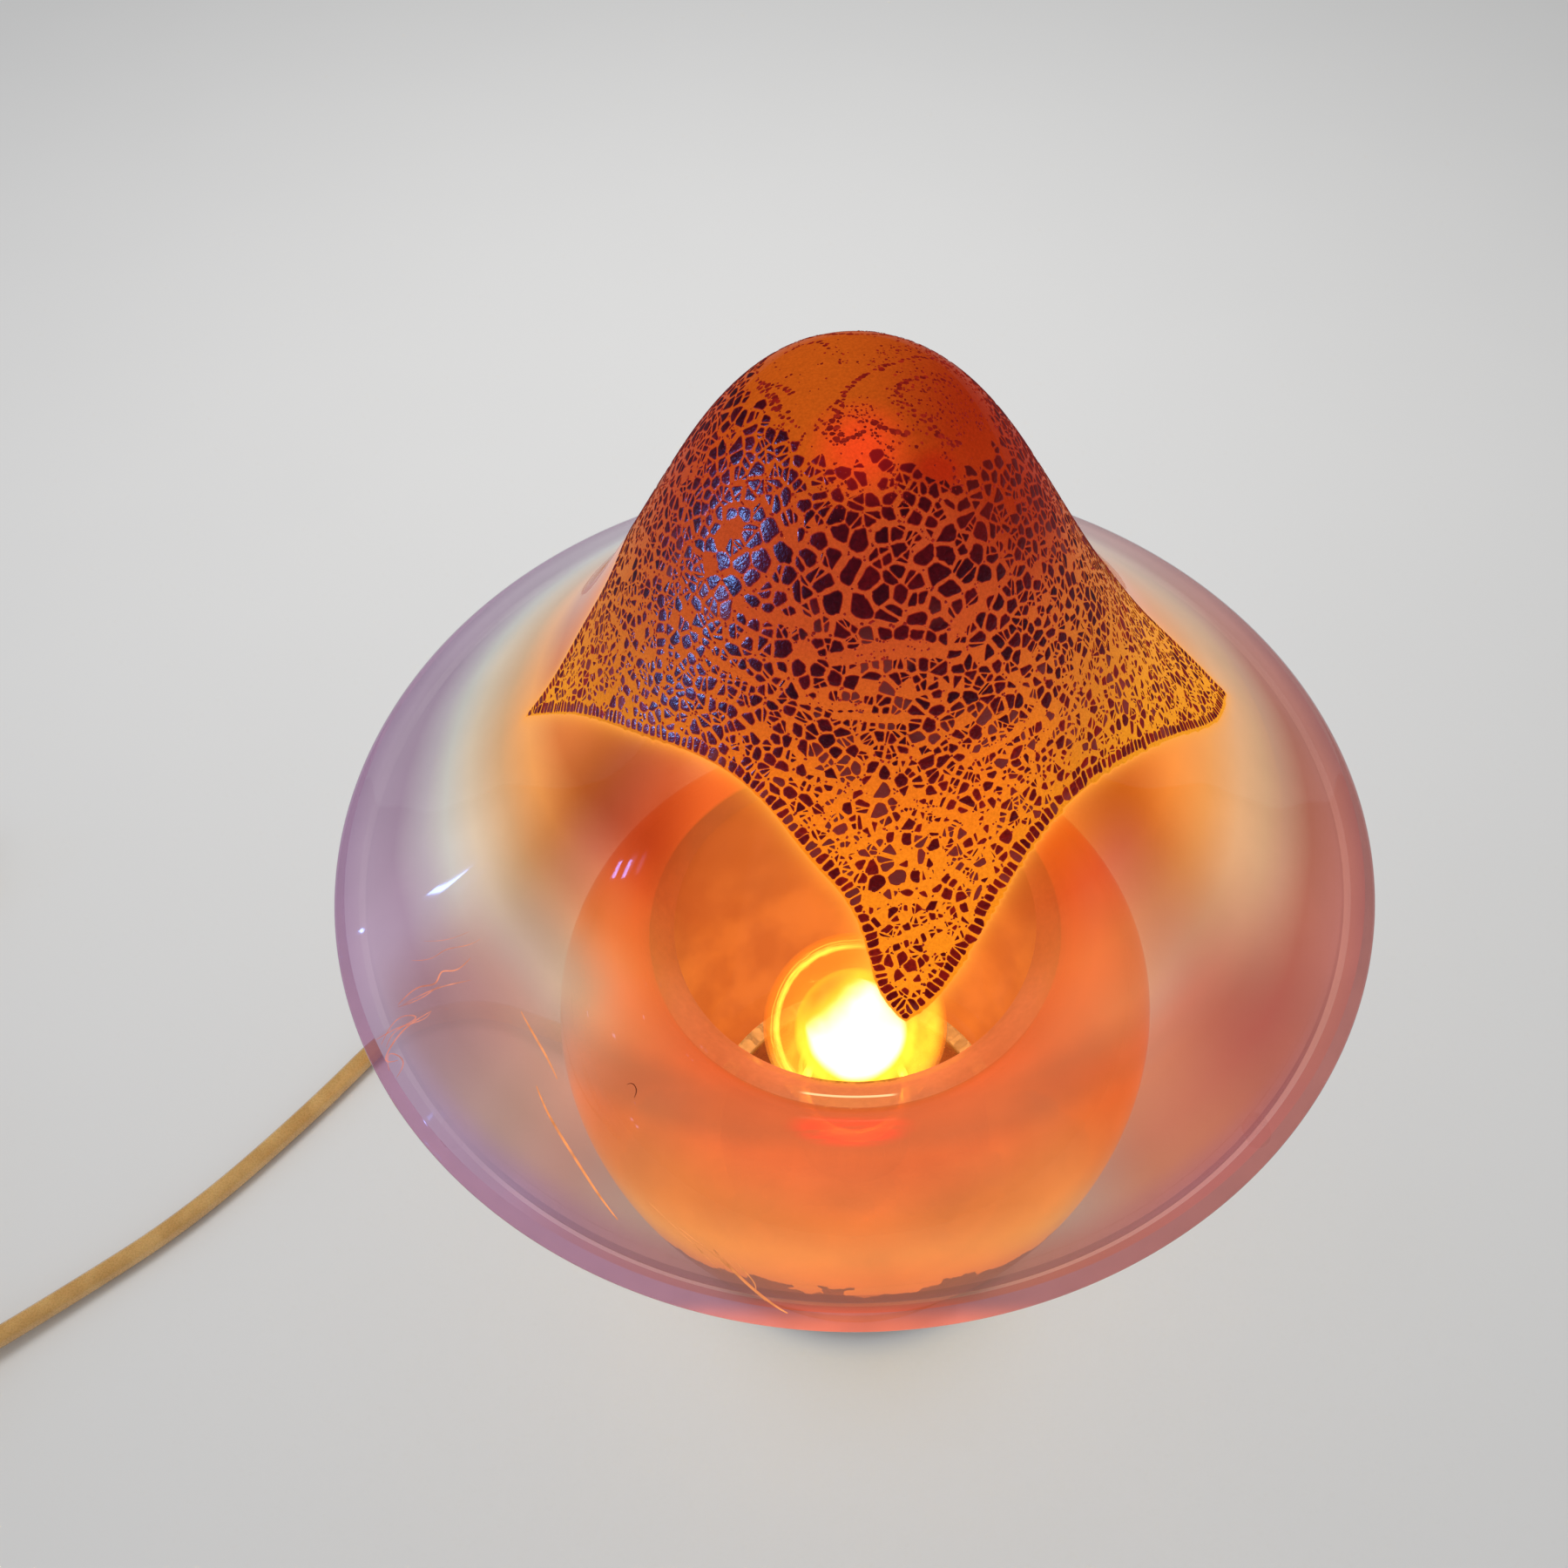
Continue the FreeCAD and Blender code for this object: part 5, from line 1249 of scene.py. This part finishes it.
def brushed_metal(name, a, b, rough, axis_scale=(0.25, 0.25, 5.0)):
    g = Graph(name)
    p = g.object_mm()
    x, y, z = g.xyz(p)
    streak = g.noise(g.vmath("MULTIPLY", p, axis_scale), 1.0, 3.0, 0.65)
    blot = g.noise(p, 0.08, 3.0)
    c = g.mixc(g.smooth(streak, 0.3, 0.7), a, b)
    c = g.scale_colour(c, g.line(blot, 0.3, 0.7, 0.8, 1.1))
    ro = g.line(streak, 0.3, 0.7, rough * 0.75, rough * 1.3)
    nm = g.bump(streak, 0.15, 0.0001)
    return g.done(g.principled(Base_Color=c, Metallic=1.0, Roughness=ro, Normal=nm))


M = {
    "foot_brass": brushed_metal("foot_brass", (0.62, 0.38, 0.13), (0.78, 0.52, 0.20), 0.28),
    "zinc_steel": brushed_metal("zinc_steel", (0.50, 0.51, 0.52), (0.70, 0.70, 0.69), 0.32, (2.0, 2.0, 2.0)),
    "spring_steel": brushed_metal("spring_steel", (0.36, 0.37, 0.38), (0.56, 0.56, 0.56), 0.25, (3.0, 3.0, 0.5)),
    "nipple_brass": brushed_metal("nipple_brass", (0.60, 0.40, 0.14), (0.80, 0.56, 0.24), 0.30, (1.0, 1.0, 6.0)),
    "contact_brass": brushed_metal("contact_brass", (0.62, 0.42, 0.16), (0.85, 0.62, 0.28), 0.24, (2.0, 2.0, 4.0)),
    "pin_nickel": brushed_metal("pin_nickel", (0.60, 0.60, 0.58), (0.78, 0.78, 0.76), 0.18, (3.0, 0.4, 3.0)),
    "bulb_metal": brushed_metal("bulb_metal", (0.62, 0.62, 0.60), (0.80, 0.80, 0.78), 0.26, (1.0, 1.0, 5.0)),
    "bulb_wire": brushed_metal("bulb_wire", (0.55, 0.45, 0.36), (0.72, 0.60, 0.48), 0.35, (3.0, 3.0, 3.0)),
    "cover_plastic": plain_material("cover_plastic", (0.020, 0.019, 0.018), (0.035, 0.033, 0.031), 0.55, grain=3.0),
    "gasket_rubber": plain_material("gasket_rubber", (0.10, 0.10, 0.095), (0.16, 0.155, 0.15), 0.75, grain=2.5),
    "holder_plastic": plain_material("holder_plastic", (0.74, 0.70, 0.60), (0.82, 0.79, 0.70), 0.40, grain=1.5, coat=0.2),
    "holder_insert": plain_material("holder_insert", (0.78, 0.76, 0.72), (0.88, 0.87, 0.84), 0.25, grain=1.2, coat=0.4),
    "bulb_insulator": plain_material("bulb_insulator", (0.015, 0.012, 0.020), (0.035, 0.028, 0.045), 0.12, grain=1.0, coat=0.5),
    "wire_brown": plain_material("wire_brown", (0.09, 0.035, 0.015), (0.13, 0.055, 0.025), 0.40),
    "wire_blue": plain_material("wire_blue", (0.02, 0.07, 0.28), (0.03, 0.10, 0.36), 0.40),
    "clamp_plastic": plain_material("clamp_plastic", (0.04, 0.04, 0.04), (0.07, 0.07, 0.068), 0.5),
    "switch_plastic": plain_material("switch_plastic", (0.50, 0.33, 0.12), (0.60, 0.42, 0.17), 0.32, scale=0.1, grain=1.6, coat=0.3),
    "rocker_plastic": plain_material("rocker_plastic", (0.42, 0.26, 0.08), (0.50, 0.33, 0.12), 0.28, scale=0.1, grain=1.6, coat=0.3),
    "plug_plastic": plain_material("plug_plastic", (0.50, 0.33, 0.12), (0.60, 0.42, 0.17), 0.34, scale=0.1, grain=1.6, coat=0.3),
    "pin_sleeve": plain_material("pin_sleeve", (0.03, 0.03, 0.03), (0.05, 0.05, 0.05), 0.35),
    "tie_plastic": plain_material("tie_plastic", (0.80, 0.80, 0.77), (0.90, 0.90, 0.88), 0.40, grain=2.5),
}

g = Graph("felt")
p = g.object_mm()
fibre = g.noise(g.vmath("MULTIPLY", p, (1.0, 1.0, 2.0)), 1.8, 5.0, 0.75)
c = g.mixc(g.smooth(fibre, 0.35, 0.65), (0.012, 0.030, 0.016), (0.035, 0.070, 0.040))
M["felt"] = g.done(g.principled(Base_Color=c, Roughness=0.95, Normal=g.bump(fibre, 0.8, 0.0004), Sheen_Weight=0.4, Sheen_Roughness=0.5))

g = Graph("bulb_glass")
p = g.object_mm()
x, y, z = g.xyz(p)
facing = g.facing(0.5)
# painted highlights: bright lines of the filament's light round the envelope's edge, strongest on the left side
rim = g.smooth(facing, 0.925, 0.985)
side = g.smooth(g.sub(x, g.mul(g.sub(z, 87.0), 0.3)), 6, -14)
wavy = g.mul(g.sub(g.noise(p, 0.10, 2.0), 0.5), 0.16)
second = g.mul(g.smooth(g.math("ABSOLUTE", g.sub(g.add(facing, wavy), 0.50)), 0.040, 0.012), side)
third = g.mul(g.smooth(g.math("ABSOLUTE", g.sub(g.add(facing, wavy), 0.60)), 0.022, 0.008), side)
neck = g.smooth(z, 66, 52)
streak = g.noise(g.vmath("MULTIPLY", p, (0.6, 0.6, 0.12)), 0.35, 2.0)
glow = g.mixc(g.smooth(streak, 0.35, 0.65), (0.50, 0.33, 0.022), (0.60, 0.45, 0.035))
glow = g.mixc(g.smooth(facing, 0.45, 0.85), glow, g.mixc(side, (0.30, 0.10, 0.008), (0.50, 0.33, 0.022)))
high = g.smooth(g.add(y, g.mul(x, -0.5)), -9.0, 10.0)
glow = g.mixc(high, glow, (0.30, 0.085, 0.008))
glow = g.mixc(g.hi(second, g.mul(third, 0.6)), glow, (1.0, 0.74, 0.10))
glow = g.mixc(rim, glow, g.mixc(g.mul(side, g.smooth(high, 1.0, 0.2)), (0.42, 0.16, 0.01), (1.15, 0.80, 0.09)))
glow = g.mixc(neck, glow, (0.5, 0.16, 0.02))
body = g.both(g.emission(glow), g.clear(g.mixc(rim, (0.92, 0.86, 0.70), (0.5, 0.30, 0.10))))
M["bulb_glass"] = g.done(g.mixs(g.mul(g.fresnel(1.45), 0.5), body, g.glossy((1.0, 0.95, 0.85), 0.04)))

g = Graph("clear_silicone")
p = g.object_mm()
body = g.both(g.emission(g.scale_colour((0.020, 0.014, 0.016), g.line(g.noise(p, 0.8, 2.0), 0.3, 0.7, 0.6, 1.4))), g.clear((0.94, 0.92, 0.92)))
M["clear_silicone"] = g.done(g.mixs(g.mul(g.fresnel(1.4), 0.3), body, g.glossy((0.9, 0.93, 1.0), 0.15)))

g = Graph("bulb_stem")
p = g.object_mm()
body = g.both(g.emission(g.scale_colour((0.9, 0.55, 0.12), g.line(g.noise(p, 0.2, 2.0), 0.3, 0.7, 0.7, 1.2))), g.clear((0.75, 0.7, 0.6)))
M["bulb_stem"] = g.done(body)

g = Graph("filament")
p = g.object_mm()
M["filament"] = g.done(g.emission(g.mixc(g.noise(p, 0.3, 1.0), (1.0, 0.72, 0.36), (1.0, 0.82, 0.52)), 60.0))

g = Graph("cord_sheath")
tc = g.node("ShaderNodeTexCoord")
p = g.object_mm()
blot = g.noise(p, 0.10, 3.0)
fine_n = g.noise(p, 1.8, 3.0, 0.6)
edge = g.smooth(g.facing(0.5), 0.45, 0.98)
c = g.mixc(g.smooth(blot, 0.3, 0.7), (0.60, 0.33, 0.10), (0.72, 0.43, 0.15))
c = g.scale_colour(c, g.line(fine_n, 0.3, 0.7, 0.92, 1.06))
nm = g.bump(g.add(g.mul(fine_n, 0.4), blot), 0.25, 0.0002)
c = g.mixc(g.mul(g.smooth(g.facing(0.5), 0.55, 0.85), 0.45), c, (0.20, 0.16, 0.13))
sheath = g.done(g.principled(Base_Color=c, Roughness=g.line(fine_n, 0.3, 0.7, 0.22, 0.34), Normal=nm, Specular_IOR_Level=0.6, Coat_Weight=0.4, Coat_Roughness=0.1,
                             Subsurface_Weight=0.15, Subsurface_Scale=0.002, Subsurface_Radius=(1.0, 0.5, 0.2)))
M["cord_sheath"] = sheath
cord.data.materials.append(sheath)

slot_of = {s["node"]: s["material_slot"] for s in frame["record"]["subparts"]} if "subparts" in frame["record"] else {}
for name, ob in nodes.items():
    if slot_of.get(name) in M:
        paint(ob, M[slot_of[name]])

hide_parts("cord_lamp_run", "cord_supply_run", "cord_coil", "cord_tail")
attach(cord, "base")

# ------------------------------------------------------------------ the bulb's light
glow_prof = [(0, 67.4), (5.0, 68.0), (10.2, 71.2), (14.8, 76.2), (17.6, 82.2), (18.6, 87.6), (17.9, 93.4), (15.2, 99.2), (10.6, 103.8), (5.4, 106.3), (0, 107.0)]
gp = spline_points(glow_prof, 60)
gp[0, 0] = gp[-1, 0] = 0
glow_ob = lathe("bulb_light", gp[::-1], 120)
for vert in glow_ob.data.vertices:
    vert.co.x += 0.0003
    vert.co.y -= 0.0026
glow_ob.visible_glossy = False
g = Graph("bulb_light")
p = g.object_mm()
x, y, z = g.xyz(p)
heat = g.smooth(g.noise(p, 0.08, 2.0), 0.3, 0.7)
face = g.add(g.facing(0.5), g.mul(g.sub(g.noise(p, 0.07, 2.0), 0.5), 0.10))
hot = g.mixc(heat, (4.5, 4.5, 4.6), (6.0, 6.0, 6.0))
cut = g.add(g.mul(x, -0.66), g.mul(g.add(g.mul(g.add(y, 2.6), 0.788), g.mul(g.sub(z, 87.0), 0.616)), 0.75))
c = g.mixc(g.hi(g.smooth(face, 0.26, 0.44), g.smooth(g.add(cut, g.mul(g.sub(g.noise(p, 0.09, 2.0), 0.5), 5.0)), 6.0, 14.0)), hot, (1.4, 1.20, 0.11))
c = g.mixc(g.smooth(cut, 11.5, 17.5), c, (0.62, 0.27, 0.02))
c = g.mixc(g.smooth(face, 0.42, 0.80), c, (0.8, 0.48, 0.025))
paint(glow_ob, g.done(g.both(g.emission(g.scale_colour(c, g.smooth(face, 0.97, 0.60, 0.0, 1.0))), g.clear(g.scale_colour((1.0, 1.0, 1.0), g.smooth(face, 0.35, 0.95, 0.0, 1.0))))))
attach(glow_ob, "bulb")
glow_ob.visible_diffuse = False
glow_ob.visible_glossy = False
glow_ob.visible_shadow = False

# ------------------------------------------------------------------ floor and light
bm = bmesh.new()
bmesh.ops.create_grid(bm, x_segments=40, y_segments=40, size=4.0)
me = bpy.data.meshes.new("floor")
bm.to_mesh(me)
bm.free()
floor = bpy.data.objects.new("floor", me)
scene.collection.objects.link(floor)
floor.location = (0, 1.0, 0.0)
g = Graph("floor")
p = g.object_mm()
n = g.noise(p, 0.01, 2.0)
c = g.mixc(n, (0.800, 0.795, 0.785), (0.815, 0.810, 0.800))
paint(floor, g.done(g.principled(Base_Color=c, Roughness=0.9, Specular_IOR_Level=0.1)))


def area(name, loc, aim, size, power, colour=(1, 1, 1), glossy=False, size_y=None):
    li = bpy.data.lights.new(name, "AREA")
    li.energy = power
    li.color = colour
    li.shape = "RECTANGLE" if size_y else "SQUARE"
    li.size = size
    if size_y:
        li.size_y = size_y
    ob = bpy.data.objects.new(name, li)
    scene.collection.objects.link(ob)
    ob.location = loc
    ob.rotation_mode = "QUATERNION"
    ob.rotation_quaternion = (Vector(aim) - Vector(loc)).to_track_quat("-Z", "Y")
    ob.visible_glossy = glossy
    ob.visible_camera = False
    return ob


area("key", (-0.08, 0.44, 0.93), (-0.08, 0.44, 0), 0.5, 4.1, (1.0, 0.995, 0.985))


inside = bpy.data.lights.new("bulb_inside", "POINT")
inside.energy = 5.0
inside.color = (1.0, 0.50, 0.12)
inside.shadow_soft_size = 0.02
inside_ob = bpy.data.objects.new("bulb_inside", inside)
scene.collection.objects.link(inside_ob)
inside_ob.location = (0.0, 0.0, 0.095)
inside_ob.visible_glossy = False
lit = bpy.data.collections.new("bulb_inside_on")
for name, ob in nodes.items():
    if name.startswith(("foot_pan", "glass_", "clip_", "nipple", "holder_", "terminal", "bulb_cap", "bulb_insulator", "cover_posts")):
        lit.objects.link(ob)
inside_ob.light_linking.receiver_collection = lit


def pane(name, az, el, w, h, power):
    a, e = math.radians(az), math.radians(el)
    to = Vector((math.cos(a) * math.cos(e), math.sin(a) * math.cos(e), math.sin(e)))
    area(name, Vector((0, 0, 0.25)) + to * 2.0, (0, 0, 0.25), w, power, (0.25, 0.40, 1.0), True, h)


pane("pane_a1", -162.2, 8, 0.03, 0.08, 0.22)
pane("pane_a2", -159.6, 8, 0.03, 0.08, 0.22)
pane("pane_b1", 165, 7, 0.016, 0.016, 0.07)
pane("pane_b2", 167, 4, 0.05, 0.02, 0.18)
pane("pane_c", -167, 22, 0.012, 0.020, 0.06)
pane("pane_d", 171, 28, 0.03, 0.06, 0.25)


def blue_window(name, az, el, w, h, power, turn=0.0):
    """A window's light on the leaf's flakes alone."""
    a, e = math.radians(az), math.radians(el)
    to = Vector((math.cos(a) * math.cos(e), math.sin(a) * math.cos(e), math.sin(e)))
    ob = area(name, Vector((0, 0, 0.28)) + to * 1.5, (0, 0, 0.28), w, power, (0.22, 0.48, 1.0), True, h)
    group = bpy.data.collections.new(name + "_on")
    group.objects.link(leaf_ob)
    ob.light_linking.receiver_collection = group


blue_window("blue_a", -168, 14, 0.16, 0.5, 22.0)

world = bpy.data.worlds.new("world")
scene.world = world
world.use_nodes = True
wt = world.node_tree
wt.nodes.clear()
wo = wt.nodes.new("ShaderNodeOutputWorld")
bg = wt.nodes.new("ShaderNodeBackground")
bg.inputs[0].default_value = (0.98, 0.99, 1.0, 1)
bg.inputs[1].default_value = 0.47
wt.links.new(bg.outputs[0], wo.inputs[0])
path = wt.nodes.new("ShaderNodeLightPath")
dim = wt.nodes.new("ShaderNodeMapRange")
dim.inputs["From Min"].default_value, dim.inputs["From Max"].default_value = 0.0, 1.0
dim.inputs["To Min"].default_value, dim.inputs["To Max"].default_value = 0.47, 0.07
wt.links.new(path.outputs["Is Glossy Ray"], dim.inputs["Value"])
wt.links.new(dim.outputs["Result"], bg.inputs[1])

scene.view_settings.view_transform = "Standard"
scene.view_settings.look = "None"
scene.view_settings.exposure = 0.0
scene.view_settings.gamma = 1.0
scene.cycles.transparent_max_bounces = 40
scene.cycles.max_bounces = 8
scene.cycles.diffuse_bounces = 3
scene.cycles.glossy_bounces = 4
scene.cycles.use_denoising = True
scene.cycles.sample_clamp_indirect = 4.0
scene.cycles.blur_glossy = 0.3
